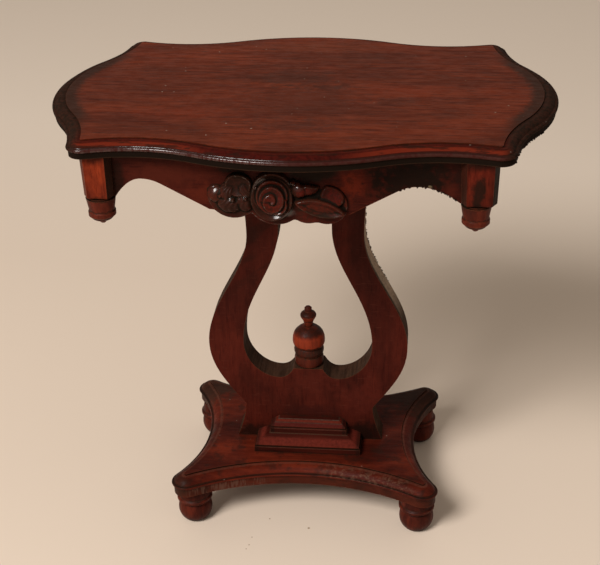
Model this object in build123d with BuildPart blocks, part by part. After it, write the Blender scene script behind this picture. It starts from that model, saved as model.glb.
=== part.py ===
from build123d import *

import os
from math import copysign, radians, sin, sqrt, tan

# A 1:12 miniature of a mahogany parlour table: a serpentine "turtle" top on four corner
# posts and shaped aprons, carried by a flat sawn lyre on a four-footed base.
# Millimetres, +Z up, the origin on the floor under the middle, the front towards -Y.

# ---- heights that set the whole table ----
table_height = 63.5
top_thickness = 2.0
base_underside = 5.5
base_thickness = 3.0
top_underside = table_height - top_thickness
base_top = base_underside + base_thickness

# ---- tabletop: a quarter outline of tangent arcs, from the middle of the end to the front ----
top_half_length = 33.3
top_end_radius = 20.0
top_end_sweep = 33
top_hollow_radius = 17.9
top_hollow_sweep = 26
top_ear_arris_radius = 0.25
top_ear_sweep = 100
top_front_hollow_radius = 20.0
top_front_hollow_sweep = 38.5

# ---- edge mouldings: fillet, bead, ovolo and a small step up to the flat field ----
waste_margin = 0.6
top_moulding_width = 1.85
top_fillet_height = 0.8
top_fillet_inset = 0.25
top_bead_radius = 0.26
top_step_height = 0.18
base_moulding_width = 1.9
base_fillet_height = 1.45
base_fillet_inset = 0.3
base_bead_radius = 0.2
base_step_height = 0.25
quirk = 0.14
ovolo_bulge = 0.24

# ---- base: the same kind of outline with one round lobe over each foot ----
base_waist_half_length = 15.7
base_end_radius = 19.46
base_end_sweep = 34
base_lobe_arris_radius = 0.3
base_lobe_sweep = 153

# ---- turned feet: bun, ring and collar, set in from the middles of the lobes ----
foot_inset_x = 0.8
foot_inset_y = 1.1
foot_bun_radius = 2.5
foot_bun_height = 3.25
foot_bun_middle = 1.9
foot_waist_height = 0.15
foot_ring_radius = 2.6
foot_ring_height = 0.8
foot_ring_shoulder = 0.25
foot_collar_radius = 2.1

# ---- corner posts: blocks with chamfered outer corners, and turned drops under them ----
post_width = 4.0
right_post_extra = 0.6
post_depth = 3.7
post_inboard_x = 1.93
post_inboard_y = 0.8
post_length = 5.9
post_taper = 1.5
post_side_chamfer = 1.1
post_face_chamfer = 0.65
post_foot_chamfer = 0.3
frame_shift = -0.6
drop_groove_radius = 1.65
drop_groove_height = 0.15
drop_head_radius = 1.9
drop_neck_radius = 1.6
drop_neck_length = 1.75
drop_ring_radius = 1.74
drop_ring_height = 0.8
drop_dome_radius = 1.5
drop_dome_height = 0.5
drop_dome_bulge = 0.14
drop_button_seat = 0.85
drop_button_radius = 0.55
drop_button_length = 0.55

# ---- aprons: boards between the posts with a sawn arch each side of the carving ----
apron_thickness = 1.5
apron_setback = 1.6
left_arch_shoulder = 3.3
left_arch_peak_drop = 3.45
right_arch_shoulder = 5.1
right_arch_peak_drop = 3.85
arch_radius = 5.0
arch_flank_angle = 29
carving_bed_half_width = 8.7
carving_bed_sag = 0.45
carving_shift = -1.5
side_arch_rise = 1.7
side_apron_depth = 5.2

# ---- rose carving on the front and back aprons, heights taken down from the top ----
carving_plate_thickness = 0.5
bud_plate_radius = 3.1
rose_plate_radius = 3.6
leaf_plate_radius = 2.6
rose_radius = 2.65
rose_relief = 1.6
rose_x = -0.7
rose_drop = 5.1
rose_whorls = 3
whorl_drift = 0.12
bud_x = -5.6
bud_drop = 5.3
bud_ring_radius = 1.6
bud_ring_turn = 60
bud_lobe_count = 5
bud_lobe_radius = 1.0
bud_lobe_relief = 0.9
bud_heart_radius = 0.95
bud_heart_relief = 1.3
closed_bud_length = 3.4
closed_bud_width = 1.8
closed_bud_slope = 18
closed_bud_x = 3.35
closed_bud_drop = 3.7
closed_bud_relief = 1.0
leaf_length = 6.6
leaf_width = 2.3
leaf_relief = 1.0
leaf_x = 5.25
leaf_drop = 6.5
leaf_slope = -13
petal_radius = 1.5
petal_relief = 0.5
petal_x = 6.8
petal_drop = 5.15

# ---- lyre: half outlines, heights above the base ----
lyre_thickness = 3.9
lyre_foot_half_width = 10.9
lyre_waist_half_width = 9.45
lyre_waist_height = 5.7
lyre_waist_round = 0.7
lyre_foot_hollow = 0.25
lyre_belly_half_width = 14.5
lyre_belly_height = 16.3
lyre_neck_half_width = 8.2
lyre_neck_height = 34.4
lyre_top_half_width = 11.6
opening_belly_half_width = 9.4
opening_belly_height = 16.4
opening_neck_half_width = 3.75
opening_neck_height = 35.3
opening_top_half_width = 6.4
opening_dip_half_width = 4.3
opening_dip_height = 10.6
cusp_half_width = 2.15
cusp_height = 12.2

# ---- finial that stands on the cusp inside the lyre, from its foot up ----
finial_seat_radius = 1.85
finial_seat_height = 0.2
finial_band_radius = 2.15
finial_band_height = 1.5
finial_band_swell = 0.12
finial_groove_radius = 1.95
finial_groove_height = 0.12
finial_torus_radius = 2.2
finial_torus_height = 1.25
finial_torus_swell = 0.22
finial_ball_foot_radius = 2.1
finial_ball_radius = 2.38
finial_ball_belly = 0.85
finial_ball_shoulder_radius = 1.85
finial_ball_shoulder = 2.45
finial_ball_head_radius = 0.7
finial_ball_height = 3.15
finial_neck_foot_radius = 0.55
finial_neck_head_radius = 0.78
finial_neck_height = 0.95
finial_bead_radius = 1.17
finial_bead_belly = 0.85
finial_bead_height = 1.5
finial_tip_radius = 0.54
finial_tip_height = 0.75
finial_tip_round = 0.2

# ---- moulded plinth blocks in front of and behind the lyre's foot ----
plinth_half_length = 7.85
plinth_depth = 4.2
plinth_fillet_height = 0.9
plinth_slope_run = 2.0
plinth_slope_rise = 0.85
upper_fillet_height = 0.8
upper_slope_run = 1.1
upper_slope_rise = 0.7
plinth_quirk = 0.15
plinth_lip_height = 0.15

# ---- bearer: the flat batten that joins the lyre to the top ----
bearer_half_length = 15.0
bearer_depth = 9.0
bearer_thickness = 1.6
bearer_corner_radius = 1.0

os.makedirs("parts", exist_ok=True)


def save(builder, node):
    """Label a finished piece and write its STEP file."""
    builder.part.label = node
    export_step(builder.part, f"parts/{node}.step")


# =====================================================================================
# Outlines made of tangent arcs, and the moulding worked round them
# =====================================================================================


def chain_quarter(half_length, turns):
    """Draw tangent arcs from (half_length, 0) to the Y axis, and return them with their sweeps.

    Each turn is (radius, sweep): a positive sweep bulges outward, a negative one is hollow.
    The last arc isn't listed, because it has to meet the Y axis square.
    """
    start = Vector(half_length, 0)
    heading = Vector(0, 1)
    closing_sweep = 90
    chain = []
    for radius, sweep in turns:
        arc = JernArc(start, heading, radius, sweep)
        start = arc @ 1
        heading = arc % 1
        closing_sweep -= sweep
        chain.append((arc, sweep))
    closing_arc = JernArc(start, heading, start.X / abs(sin(radians(closing_sweep))), closing_sweep)
    chain.append((closing_arc, closing_sweep))
    return chain


def quarter_face(half_length, turns):
    """The quarter of the outline's face between the +X and +Y axes, square to both."""
    with BuildSketch() as quarter:
        with BuildLine():
            chain = chain_quarter(half_length, turns)
            last_arc = chain[-1][0]
            Polyline(last_arc @ 1, (0, 0), (half_length, 0))
        make_face()
    return quarter.sketch


def section_plane(arc):
    """The upright plane across an arc's start: local x runs outward, local y upward."""
    along = arc % 0
    return Plane(origin=arc @ 0, x_dir=(along.Y, -along.X, 0), z_dir=(-along.X, -along.Y, 0))


def turning_axis(arc, sweep):
    """The axis that carries a section along its arc, up for a bulge and down for a hollow."""
    return Axis(arc.arc_center, (0, 0, copysign(1, sweep)))


def draw_waste(underside, thickness, width, fillet_height, fillet_inset, bead_radius, step_height):
    """Draw, inside a BuildLine, the section that the moulding tools take off a slab's edge."""
    bead_middle = underside + fillet_height + bead_radius
    shoulder = underside + thickness - step_height
    ovolo_foot = (-bead_radius - quirk, bead_middle + bead_radius)
    ovolo_head = (quirk - width, shoulder)
    bead_foot = (-bead_radius, bead_middle - bead_radius)
    bead_head = (-bead_radius, bead_middle + bead_radius)
    Polyline(
        bead_foot,
        (-fillet_inset, bead_middle - bead_radius),
        (-fillet_inset, underside - waste_margin),
        (waste_margin, underside - waste_margin),
        (waste_margin, underside + thickness + waste_margin),
        (-width, underside + thickness + waste_margin),
        (-width, shoulder),
        ovolo_head,
    )
    SagittaArc(ovolo_head, ovolo_foot, ovolo_bulge)
    Line(ovolo_foot, bead_head)
    ThreePointArc(bead_head, (0, bead_middle), bead_foot)


top_turns = [
    (top_end_radius, top_end_sweep),
    (top_hollow_radius, -top_hollow_sweep),
    (top_moulding_width + top_ear_arris_radius, top_ear_sweep),
    (top_front_hollow_radius, -top_front_hollow_sweep),
]
base_lobe_radius = base_moulding_width + base_lobe_arris_radius
base_turns = [
    (base_end_radius, -base_end_sweep),
    (base_lobe_radius, base_lobe_sweep),
]

# =====================================================================================
# Tabletop
# =====================================================================================

with BuildPart() as tabletop:
    extrude(quarter_face(top_half_length, top_turns), amount=table_height)
    split(bisect_by=Plane.XY.offset(top_underside))
    for arc, sweep in chain_quarter(top_half_length, top_turns):
        with BuildSketch(section_plane(arc)):
            with BuildLine():
                draw_waste(
                    top_underside, top_thickness, top_moulding_width,
                    top_fillet_height, top_fillet_inset, top_bead_radius, top_step_height,
                )
            make_face()
        revolve(axis=turning_axis(arc, sweep), revolution_arc=abs(sweep), mode=Mode.SUBTRACT)
    mirror(about=Plane.YZ)
    mirror(about=Plane.XZ)
save(tabletop, "tabletop")

# =====================================================================================
# Base and feet
# =====================================================================================

with BuildPart() as base:
    extrude(quarter_face(base_waist_half_length, base_turns), amount=base_top)
    split(bisect_by=Plane.XY.offset(base_underside))
    for arc, sweep in chain_quarter(base_waist_half_length, base_turns):
        with BuildSketch(section_plane(arc)):
            with BuildLine():
                draw_waste(
                    base_underside, base_thickness, base_moulding_width,
                    base_fillet_height, base_fillet_inset, base_bead_radius, base_step_height,
                )
            make_face()
        revolve(axis=turning_axis(arc, sweep), revolution_arc=abs(sweep), mode=Mode.SUBTRACT)
    mirror(about=Plane.YZ)
    mirror(about=Plane.XZ)
save(base, "base")

# The feet stand a little inward of the middles of the lobes.
base_lobe_arc = chain_quarter(base_waist_half_length, base_turns)[1][0]
foot_x = base_lobe_arc.arc_center.X - foot_inset_x
foot_y = base_lobe_arc.arc_center.Y - foot_inset_y

corners = {
    "front_left": (-1, -1),
    "front_right": (1, -1),
    "back_left": (-1, 1),
    "back_right": (1, 1),
}


def upright_plane(x, y):
    """A plane facing the front whose vertical axis stands on (x, y)."""
    return Plane(origin=(x, y, 0), x_dir=(1, 0, 0), z_dir=(0, -1, 0))


def draw_ring(neck_radius, ring_radius, head, foot):
    """Draw, from the top down, a turned ring with chamfered shoulders."""
    shoulder = ring_radius - neck_radius
    Polyline(
        (neck_radius, head),
        (ring_radius, head - shoulder),
        (ring_radius, foot + shoulder),
        (neck_radius, foot),
    )


def draw_foot():
    """Draw half of the foot's turned section: collar, ring, waist and a spherical bun."""
    ring_foot = foot_bun_height + foot_waist_height
    ring_head = ring_foot + foot_ring_height
    sole_radius = sqrt(foot_bun_radius**2 - foot_bun_middle**2)
    bun_head_radius = sqrt(foot_bun_radius**2 - (foot_bun_height - foot_bun_middle) ** 2)
    neck_radius = foot_ring_radius - foot_ring_shoulder
    Polyline((0, base_underside), (foot_collar_radius, base_underside), (neck_radius, ring_head))
    draw_ring(neck_radius, foot_ring_radius, ring_head, ring_foot)
    Polyline(
        (neck_radius, ring_foot), (bun_head_radius, ring_foot), (bun_head_radius, foot_bun_height)
    )
    ThreePointArc(
        (bun_head_radius, foot_bun_height), (foot_bun_radius, foot_bun_middle), (sole_radius, 0)
    )
    Polyline((sole_radius, 0), (0, 0), (0, base_underside))


for corner, (side, end) in corners.items():
    foot_plane = upright_plane(side * foot_x, end * foot_y)
    with BuildPart() as foot:
        with BuildSketch(foot_plane):
            with BuildLine():
                draw_foot()
            make_face()
        revolve(axis=Axis(foot_plane.origin, (0, 0, 1)))
    save(foot, f"{corner}_foot")

# =====================================================================================
# Corner posts and their turned drops
# =====================================================================================

# The posts stand inward of the middles of the tabletop's ears, both pairs shifted alike.
top_ear_arc = chain_quarter(top_half_length, top_turns)[2][0]
post_x = top_ear_arc.arc_center.X - post_inboard_x
post_y = top_ear_arc.arc_center.Y - post_inboard_y
post_bottom = top_underside - post_length


def draw_post(width):
    """Draw a post's section, its two outer corners chamfered, the outer face towards +Y."""
    side_face = width / 2
    outer_face = post_depth / 2
    Polyline(
        (side_face, -outer_face),
        (side_face, outer_face - post_side_chamfer),
        (side_face - post_face_chamfer, outer_face),
        (post_face_chamfer - side_face, outer_face),
        (-side_face, outer_face - post_side_chamfer),
        (-side_face, -outer_face),
        close=True,
    )


def draw_drop():
    """Draw half of a drop's turned section: groove, neck, ring, dome and button."""
    neck_head = post_bottom - drop_groove_height
    ring_head = neck_head - drop_neck_length
    ring_foot = ring_head - drop_ring_height
    dome_foot = ring_foot - drop_dome_height
    tip = dome_foot - drop_button_length
    Polyline(
        (0, post_bottom),
        (drop_groove_radius, post_bottom),
        (drop_groove_radius, neck_head),
        (drop_head_radius, neck_head),
        (drop_neck_radius, ring_head),
    )
    draw_ring(drop_neck_radius, drop_ring_radius, ring_head, ring_foot)
    Line((drop_neck_radius, ring_foot), (drop_dome_radius, ring_foot))
    SagittaArc((drop_dome_radius, ring_foot), (drop_button_seat, dome_foot), drop_dome_bulge)
    Polyline(
        (drop_button_seat, dome_foot),
        (drop_button_radius, dome_foot),
        (drop_button_radius, tip + drop_button_radius / 2),
        (drop_button_radius / 2, tip),
        (0, tip),
        (0, post_bottom),
    )


# The right posts are a little wider on their outer side only, so their drops sit off the middle.
posts = []
for corner, (side, end) in corners.items():
    middle_x = frame_shift + side * post_x
    extra = right_post_extra if side > 0 else 0
    head = Plane(
        origin=(middle_x + extra / 2, end * post_y, top_underside),
        x_dir=(-end, 0, 0),
        z_dir=(0, 0, -1),
    )
    with BuildPart() as post:
        with BuildSketch(head):
            with BuildLine():
                draw_post(post_width + extra)
            make_face()
        extrude(amount=post_length, taper=post_taper)
        chamfer(post.faces().sort_by(Axis.Z)[0].edges(), length=post_foot_chamfer)
    save(post, f"{corner}_post")
    posts.append(post.part)

    drop_plane = upright_plane(middle_x, end * post_y)
    with BuildPart() as drop:
        with BuildSketch(drop_plane):
            with BuildLine():
                draw_drop()
            make_face()
        revolve(axis=Axis(drop_plane.origin, (0, 0, 1)))
    save(drop, f"{corner}_drop")

# =====================================================================================
# Aprons between the posts
# =====================================================================================

apron_face_y = post_y + post_depth / 2 - apron_setback
apron_face_x = post_x + post_width / 2 - apron_setback
tongue = post_depth / 4


def draw_arch(side, spring, shoulder, peak_drop):
    """Draw one sawn arch from the post to the bed of the carving, and return the bed's corner."""
    peak = (spring[0] - side * shoulder, top_underside - peak_drop)
    elbow = ((spring[0] + peak[0]) / 2, peak[1])
    Bezier(spring, elbow, peak)
    crest = JernArc(peak, (-side, 0), arch_radius, side * arch_flank_angle)
    bed_x = carving_shift + side * carving_bed_half_width
    fall = abs((crest @ 1).X - bed_x) * tan(radians(arch_flank_angle))
    bed_corner = (bed_x, (crest @ 1).Y - fall)
    Line(crest @ 1, bed_corner)
    return bed_corner


long_aprons = {"front": -1, "back": 1}
for name, end in long_aprons.items():
    face_plane = Plane(origin=(0, end * apron_face_y, 0), x_dir=(-end, 0, 0), z_dir=(0, end, 0))
    middle = -end * frame_shift
    left_spring = (middle - post_x + post_width / 2, post_bottom)
    right_spring = (middle + post_x - post_width / 2, post_bottom)
    with BuildPart() as long_apron:
        with BuildSketch(face_plane):
            with BuildLine():
                left_bed = draw_arch(-1, left_spring, left_arch_shoulder, left_arch_peak_drop)
                right_bed = draw_arch(1, right_spring, right_arch_shoulder, right_arch_peak_drop)
                SagittaArc(left_bed, right_bed, -carving_bed_sag)
                Polyline(
                    left_spring,
                    (left_spring[0] - tongue, post_bottom),
                    (left_spring[0] - tongue, top_underside),
                    (right_spring[0] + tongue, top_underside),
                    (right_spring[0] + tongue, post_bottom),
                    right_spring,
                )
            make_face()
        extrude(amount=-apron_thickness)
        add(posts, mode=Mode.SUBTRACT)
    save(long_apron, f"{name}_apron")

for name, side in {"left": -1, "right": 1}.items():
    face_x = frame_shift + side * apron_face_x
    side_plane = Plane(origin=(face_x, 0, 0), x_dir=(0, side, 0), z_dir=(side, 0, 0))
    board_end = post_y - post_depth / 2 + tongue
    lower_edge = top_underside - side_apron_depth
    with BuildPart() as side_apron:
        with BuildSketch(side_plane):
            with BuildLine():
                ThreePointArc(
                    (-board_end, lower_edge), (0, lower_edge + side_arch_rise), (board_end, lower_edge)
                )
                Polyline(
                    (board_end, lower_edge),
                    (board_end, top_underside),
                    (-board_end, top_underside),
                    (-board_end, lower_edge),
                )
            make_face()
        extrude(amount=-apron_thickness)
        add(posts, mode=Mode.SUBTRACT)
    save(side_apron, f"{name}_apron")

# =====================================================================================
# Rose carvings on the long aprons
# =====================================================================================


def carving_spot(x, drop):
    """A place on the carving, across from its middle and down from the top."""
    return Location((carving_shift + x, top_underside - drop))


for name, end in long_aprons.items():
    ground = Plane(origin=(0, end * apron_face_y, 0), x_dir=(-end, 0, 0), z_dir=(0, end, 0))
    relief = ground.offset(carving_plate_thickness)
    with BuildPart() as rose_carving:
        # the scalloped plate that carries the flowers
        with BuildSketch(ground):
            with Locations(carving_spot(bud_x, bud_drop)):
                Circle(bud_plate_radius)
            with Locations(carving_spot(rose_x, rose_drop)):
                Circle(rose_plate_radius)
            with Locations(
                carving_spot((rose_x + leaf_x) / 2, leaf_drop), carving_spot(leaf_x, leaf_drop)
            ):
                Circle(leaf_plate_radius)
        extrude(amount=carving_plate_thickness)

        # the open rose: whorls of petals, each smaller and a little off the last
        for whorl in range(rose_whorls):
            with BuildSketch(relief):
                with Locations(carving_spot(rose_x + whorl * whorl_drift, rose_drop)):
                    Circle(rose_radius * (1 - whorl / (rose_whorls + 1)))
            extrude(amount=rose_relief * (whorl + 1) / rose_whorls)

        # the opening bud: a ring of lobes round a taller heart
        with BuildSketch(relief):
            with Locations(carving_spot(bud_x, bud_drop)):
                with PolarLocations(bud_ring_radius, bud_lobe_count, start_angle=bud_ring_turn):
                    Circle(bud_lobe_radius)
        extrude(amount=bud_lobe_relief)
        with BuildSketch(relief):
            with Locations(carving_spot(bud_x, bud_drop)):
                Circle(bud_heart_radius)
        extrude(amount=bud_heart_relief)

        # the long leaf: two arcs meeting at pointed ends
        leaf_spot = carving_spot(leaf_x, leaf_drop) * Rotation(0, 0, leaf_slope)
        with BuildSketch(Plane(relief.location * leaf_spot)):
            with BuildLine():
                SagittaArc((-leaf_length / 2, 0), (leaf_length / 2, 0), leaf_width / 2)
                SagittaArc((-leaf_length / 2, 0), (leaf_length / 2, 0), -leaf_width / 2)
            make_face()
        extrude(amount=leaf_relief)

        # the closed bud and the round petal beside the rose
        with BuildSketch(relief):
            with Locations(carving_spot(closed_bud_x, closed_bud_drop)):
                Ellipse(closed_bud_length / 2, closed_bud_width / 2, rotation=closed_bud_slope)
        extrude(amount=closed_bud_relief)
        with BuildSketch(relief):
            with Locations(carving_spot(petal_x, petal_drop)):
                Circle(petal_radius)
        extrude(amount=petal_relief)
    save(rose_carving, f"{name}_rose_carving")

# =====================================================================================
# Lyre, its finial and the bearer under the top
# =====================================================================================

lyre_top = top_underside - bearer_thickness


def at_height(half_width, height):
    """A point of the lyre's outline, at a height above the base."""
    return (half_width, base_top + height)


waist = at_height(lyre_waist_half_width, lyre_waist_height)
cusp = at_height(cusp_half_width, cusp_height)

with BuildPart() as lyre:
    with BuildSketch(Plane.XZ.offset(lyre_thickness / 2)) as lyre_face:
        with BuildLine():
            foot_line = Line((0, base_top), (lyre_foot_half_width, base_top))
            SagittaArc(foot_line @ 1, waist, lyre_foot_hollow)
            outer = Spline(
                waist,
                at_height(lyre_belly_half_width, lyre_belly_height),
                at_height(lyre_neck_half_width, lyre_neck_height),
                (lyre_top_half_width, lyre_top),
                tangents=[(0.75, 1), (0, 1), (0, 1), (0.35, 1)],
            )
            inner = Spline(
                (opening_top_half_width, lyre_top),
                at_height(opening_neck_half_width, opening_neck_height),
                at_height(opening_belly_half_width, opening_belly_height),
                at_height(opening_dip_half_width, opening_dip_height),
                cusp,
                tangents=[(-0.3, -1), (0, -1), (0, -1), (-1, 0), (-0.5, 1)],
            )
            Line(outer @ 1, inner @ 0)
            Line(cusp, (0, base_top + cusp_height))
            mirror(about=Plane.YZ)
        make_face()
        waist_corners = [
            corner
            for corner in lyre_face.vertices()
            if abs(corner.Y - waist[1]) < lyre_waist_round
        ]
        fillet(waist_corners, radius=lyre_waist_round)
    extrude(amount=-lyre_thickness)
save(lyre, "lyre")

finial_foot = base_top + cusp_height


def draw_finial():
    """Draw half of the finial's turned section: seat, band, torus, ball, bead and tip."""
    band_foot = finial_foot + finial_seat_height
    band_head = band_foot + finial_band_height
    torus_foot = band_head + finial_groove_height
    torus_head = torus_foot + finial_torus_height
    ball_foot = torus_head + finial_groove_height
    ball_head = ball_foot + finial_ball_height
    bead_foot = ball_head + finial_neck_height
    bead_head = bead_foot + finial_bead_height
    tip = bead_head + finial_tip_height
    band_edge = finial_band_radius - finial_band_swell
    torus_edge = finial_torus_radius - finial_torus_swell
    Polyline(
        (0, finial_foot),
        (finial_seat_radius, finial_foot),
        (finial_seat_radius, band_foot),
        (band_edge, band_foot),
    )
    SagittaArc((band_edge, band_foot), (band_edge, band_head), -finial_band_swell)
    Polyline(
        (band_edge, band_head),
        (finial_groove_radius, band_head),
        (finial_groove_radius, torus_foot),
        (torus_edge, torus_foot),
    )
    SagittaArc((torus_edge, torus_foot), (torus_edge, torus_head), -finial_torus_swell)
    Polyline(
        (torus_edge, torus_head),
        (finial_groove_radius, torus_head),
        (finial_groove_radius, ball_foot),
        (finial_ball_foot_radius, ball_foot),
    )
    Spline(
        (finial_ball_foot_radius, ball_foot),
        (finial_ball_radius, ball_foot + finial_ball_belly),
        (finial_ball_shoulder_radius, ball_foot + finial_ball_shoulder),
        (finial_ball_head_radius, ball_head),
        tangents=[(1, 1), (0, 1), (-1, 1), (-1, 0.15)],
    )
    Polyline(
        (finial_ball_head_radius, ball_head),
        (finial_neck_foot_radius, ball_head),
        (finial_neck_head_radius, bead_foot),
    )
    Spline(
        (finial_neck_head_radius, bead_foot),
        (finial_bead_radius, bead_foot + finial_bead_belly),
        (finial_tip_radius, bead_head),
        tangents=[(0.5, 1), (0, 1), (-1, 0.4)],
    )
    Polyline(
        (finial_tip_radius, bead_head),
        (finial_tip_radius, tip - finial_tip_round),
        (finial_tip_radius - finial_tip_round, tip),
        (0, tip),
        (0, finial_foot),
    )


with BuildPart() as finial:
    with BuildSketch(Plane.XZ):
        with BuildLine():
            draw_finial()
        make_face()
    revolve(axis=Axis.Z)
save(finial, "lyre_finial")

with BuildPart() as bearer:
    with BuildSketch(Plane.XY.offset(lyre_top)):
        Rectangle(2 * bearer_half_length, bearer_depth)
    extrude(amount=bearer_thickness)
    fillet(bearer.edges().filter_by(Axis.Z), radius=bearer_corner_radius)
save(bearer, "top_bearer")

# =====================================================================================
# Moulded plinth blocks at the lyre's foot
# =====================================================================================


def tier_outline(end, level, half_length, depth):
    """A rectangle at one level whose back lies on the lyre's face."""
    with BuildSketch(Plane.XY.offset(level)) as outline:
        with Locations((0, end * (lyre_thickness + depth) / 2)):
            Rectangle(2 * half_length, depth)
    return outline.sketch


def moulded_tier(end, bottom, half_length, depth, fillet_height, slope_run, slope_rise):
    """Add a fillet, a quirk, a thin lip and a mitred slope, and return the upper level."""
    quirk_level = bottom + fillet_height
    lip_level = quirk_level + plinth_quirk
    slope_level = lip_level + plinth_lip_height
    head_level = slope_level + slope_rise
    extrude(tier_outline(end, bottom, half_length, depth), amount=fillet_height)
    extrude(
        tier_outline(end, quirk_level, half_length - 2 * plinth_quirk, depth - 2 * plinth_quirk),
        amount=plinth_quirk,
    )
    extrude(
        tier_outline(end, lip_level, half_length - plinth_quirk, depth - plinth_quirk),
        amount=plinth_lip_height,
    )
    slope_foot = tier_outline(end, slope_level, half_length - plinth_quirk, depth - plinth_quirk)
    run = plinth_quirk + slope_run
    loft([slope_foot, tier_outline(end, head_level, half_length - run, depth - run)])
    return head_level


for name, end in long_aprons.items():
    with BuildPart() as plinth_block:
        ledge = moulded_tier(
            end, base_top, plinth_half_length, plinth_depth,
            plinth_fillet_height, plinth_slope_run, plinth_slope_rise,
        )
        inset = plinth_quirk + plinth_slope_run
        moulded_tier(
            end, ledge, plinth_half_length - inset, plinth_depth - inset,
            upper_fillet_height, upper_slope_run, upper_slope_rise,
        )
    save(plinth_block, f"{name}_plinth_block")
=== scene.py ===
# %% [markdown]
# # A miniature lyre pedestal table in stained mahogany
# This lesson dresses a finished solid model in Blender. The real object is a doll's-house parlour
# table about 64 mm high: a serpentine top with a moulded edge, scroll-sawn aprons with a carved
# spray of roses, a flat lyre sawn from one board, a turned finial and a base on four bun feet.
# The solid model is loaded first and stays fixed, so every dressed piece takes its place from it.

# %% Load the fixed frame
import math
import random

import bmesh
import bpy
from mathutils import Matrix, Vector


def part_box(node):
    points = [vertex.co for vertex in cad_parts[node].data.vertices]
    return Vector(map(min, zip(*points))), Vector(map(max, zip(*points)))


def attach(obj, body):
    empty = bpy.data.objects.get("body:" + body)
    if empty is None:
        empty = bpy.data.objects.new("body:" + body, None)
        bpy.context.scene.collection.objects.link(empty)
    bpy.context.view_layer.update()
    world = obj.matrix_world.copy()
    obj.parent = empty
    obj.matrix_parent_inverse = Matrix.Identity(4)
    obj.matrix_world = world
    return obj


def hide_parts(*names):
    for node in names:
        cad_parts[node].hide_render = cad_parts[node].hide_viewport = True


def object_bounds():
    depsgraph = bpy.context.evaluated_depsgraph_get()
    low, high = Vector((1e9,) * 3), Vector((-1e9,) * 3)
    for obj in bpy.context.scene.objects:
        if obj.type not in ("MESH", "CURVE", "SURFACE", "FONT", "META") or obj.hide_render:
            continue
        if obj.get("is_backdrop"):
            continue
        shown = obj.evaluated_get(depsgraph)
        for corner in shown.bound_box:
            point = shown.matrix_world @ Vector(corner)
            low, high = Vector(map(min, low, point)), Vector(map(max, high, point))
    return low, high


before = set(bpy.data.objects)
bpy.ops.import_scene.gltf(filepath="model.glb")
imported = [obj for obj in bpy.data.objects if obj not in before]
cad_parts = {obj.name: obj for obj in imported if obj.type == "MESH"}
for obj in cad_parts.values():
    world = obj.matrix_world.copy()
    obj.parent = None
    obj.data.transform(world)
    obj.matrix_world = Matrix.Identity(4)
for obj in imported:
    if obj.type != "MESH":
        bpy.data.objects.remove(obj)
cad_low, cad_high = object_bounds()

scene = bpy.context.scene
mm = 0.001
print("nodes:", len(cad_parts), "height in mm:", round((cad_high.z - cad_low.z) / mm, 2))

# %% [markdown]
# ## The camera
# A small thing is looked at from close by through a long lens, so that the near edge isn't much
# larger than the far one. A camera can be placed by hand, or built from the angle round the
# object, the height of the view and the distance. Building it keeps every number plain.

# %% Camera
view_azimuth = math.radians(6.415)
view_height = math.radians(29.0)
view_roll = math.radians(-1.539)
view_distance = 181.607 * mm
view_target = Vector((-1.082, 0, 34.146)) * mm
sensor_width = 36
lens_length = 1266.48 / 600 * sensor_width

back = Vector((
    math.sin(view_azimuth) * math.cos(view_height),
    -math.cos(view_azimuth) * math.cos(view_height),
    math.sin(view_height),
))
level = Vector((math.cos(view_azimuth), math.sin(view_azimuth), 0))
upright = back.cross(level)
right_hand = level * math.cos(view_roll) + upright * math.sin(view_roll)
overhead = upright * math.cos(view_roll) - level * math.sin(view_roll)

lens = bpy.data.cameras.new("studio_camera")
lens.sensor_width = sensor_width
lens.lens = lens_length
lens.clip_start = 10 * mm
lens.clip_end = 5
camera = bpy.data.objects.new("studio_camera", lens)
turn = Matrix((right_hand, overhead, back)).transposed().to_4x4()
camera.matrix_world = Matrix.Translation(view_target + back * view_distance) @ turn
scene.collection.objects.link(camera)
scene.camera = camera
print("lens in mm:", round(lens.lens, 1))

# %% [markdown]
# ## Wiring nodes
# Every finish below is a tree of nodes. Each node could be made, set and linked in four or five
# lines, but the same few steps come back all the time, so they are named once and the trees then
# read like sums. Anything fed to a node may be a number, a colour or another node's output.

# %% Helpers that place nodes
def feed(socket, value):
    """Links value to the socket where it is an output, and otherwise sets it there."""
    if isinstance(value, bpy.types.NodeSocket):
        socket.id_data.links.new(value, socket)
    elif socket.type == "RGBA":
        socket.default_value = (*value, 1)
    else:
        socket.default_value = value


def add(tree, kind, feeds=None, **settings):
    """Adds a node of that type; a feed goes to the input of that name or number."""
    node = tree.nodes.new(kind)
    for name, value in settings.items():
        setattr(node, name, value)
    for key, value in (feeds or {}).items():
        feed(node.inputs[key], value)
    return node


def put(tree, kind, feeds=None, **settings):
    """Adds a shader node."""
    return add(tree, "ShaderNode" + kind, feeds, **settings)


def paint(name):
    """A new material with its node tree and its Principled shader."""
    made = bpy.data.materials.new(name)
    made.use_nodes = True
    return made, made.node_tree, made.node_tree.nodes["Principled BSDF"]


print("placing helpers ready")


# %% Helpers for numbers, vectors and colours
def tree_of(*values):
    """The tree that holds the first of the values that is a socket."""
    return next(value.id_data for value in values if isinstance(value, bpy.types.NodeSocket))


def maths(operation, first, second=0.0, clamp=False):
    feeds = {0: first, 1: second}
    tree = tree_of(first, second)
    return put(tree, "Math", feeds, operation=operation, use_clamp=clamp).outputs[0]


def vector_maths(operation, first, second=(0, 0, 0)):
    """A sum with vectors; the ones that measure give a number."""
    node = put(tree_of(first), "VectorMath", {0: first, 1: second}, operation=operation)
    measures = operation in ("DOT_PRODUCT", "LENGTH", "DISTANCE")
    return node.outputs["Value" if measures else "Vector"]


def stretched(vector, factors):
    """The vector times one factor each way; a factor under 1 draws a pattern out."""
    return vector_maths("MULTIPLY", vector, factors)


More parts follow.
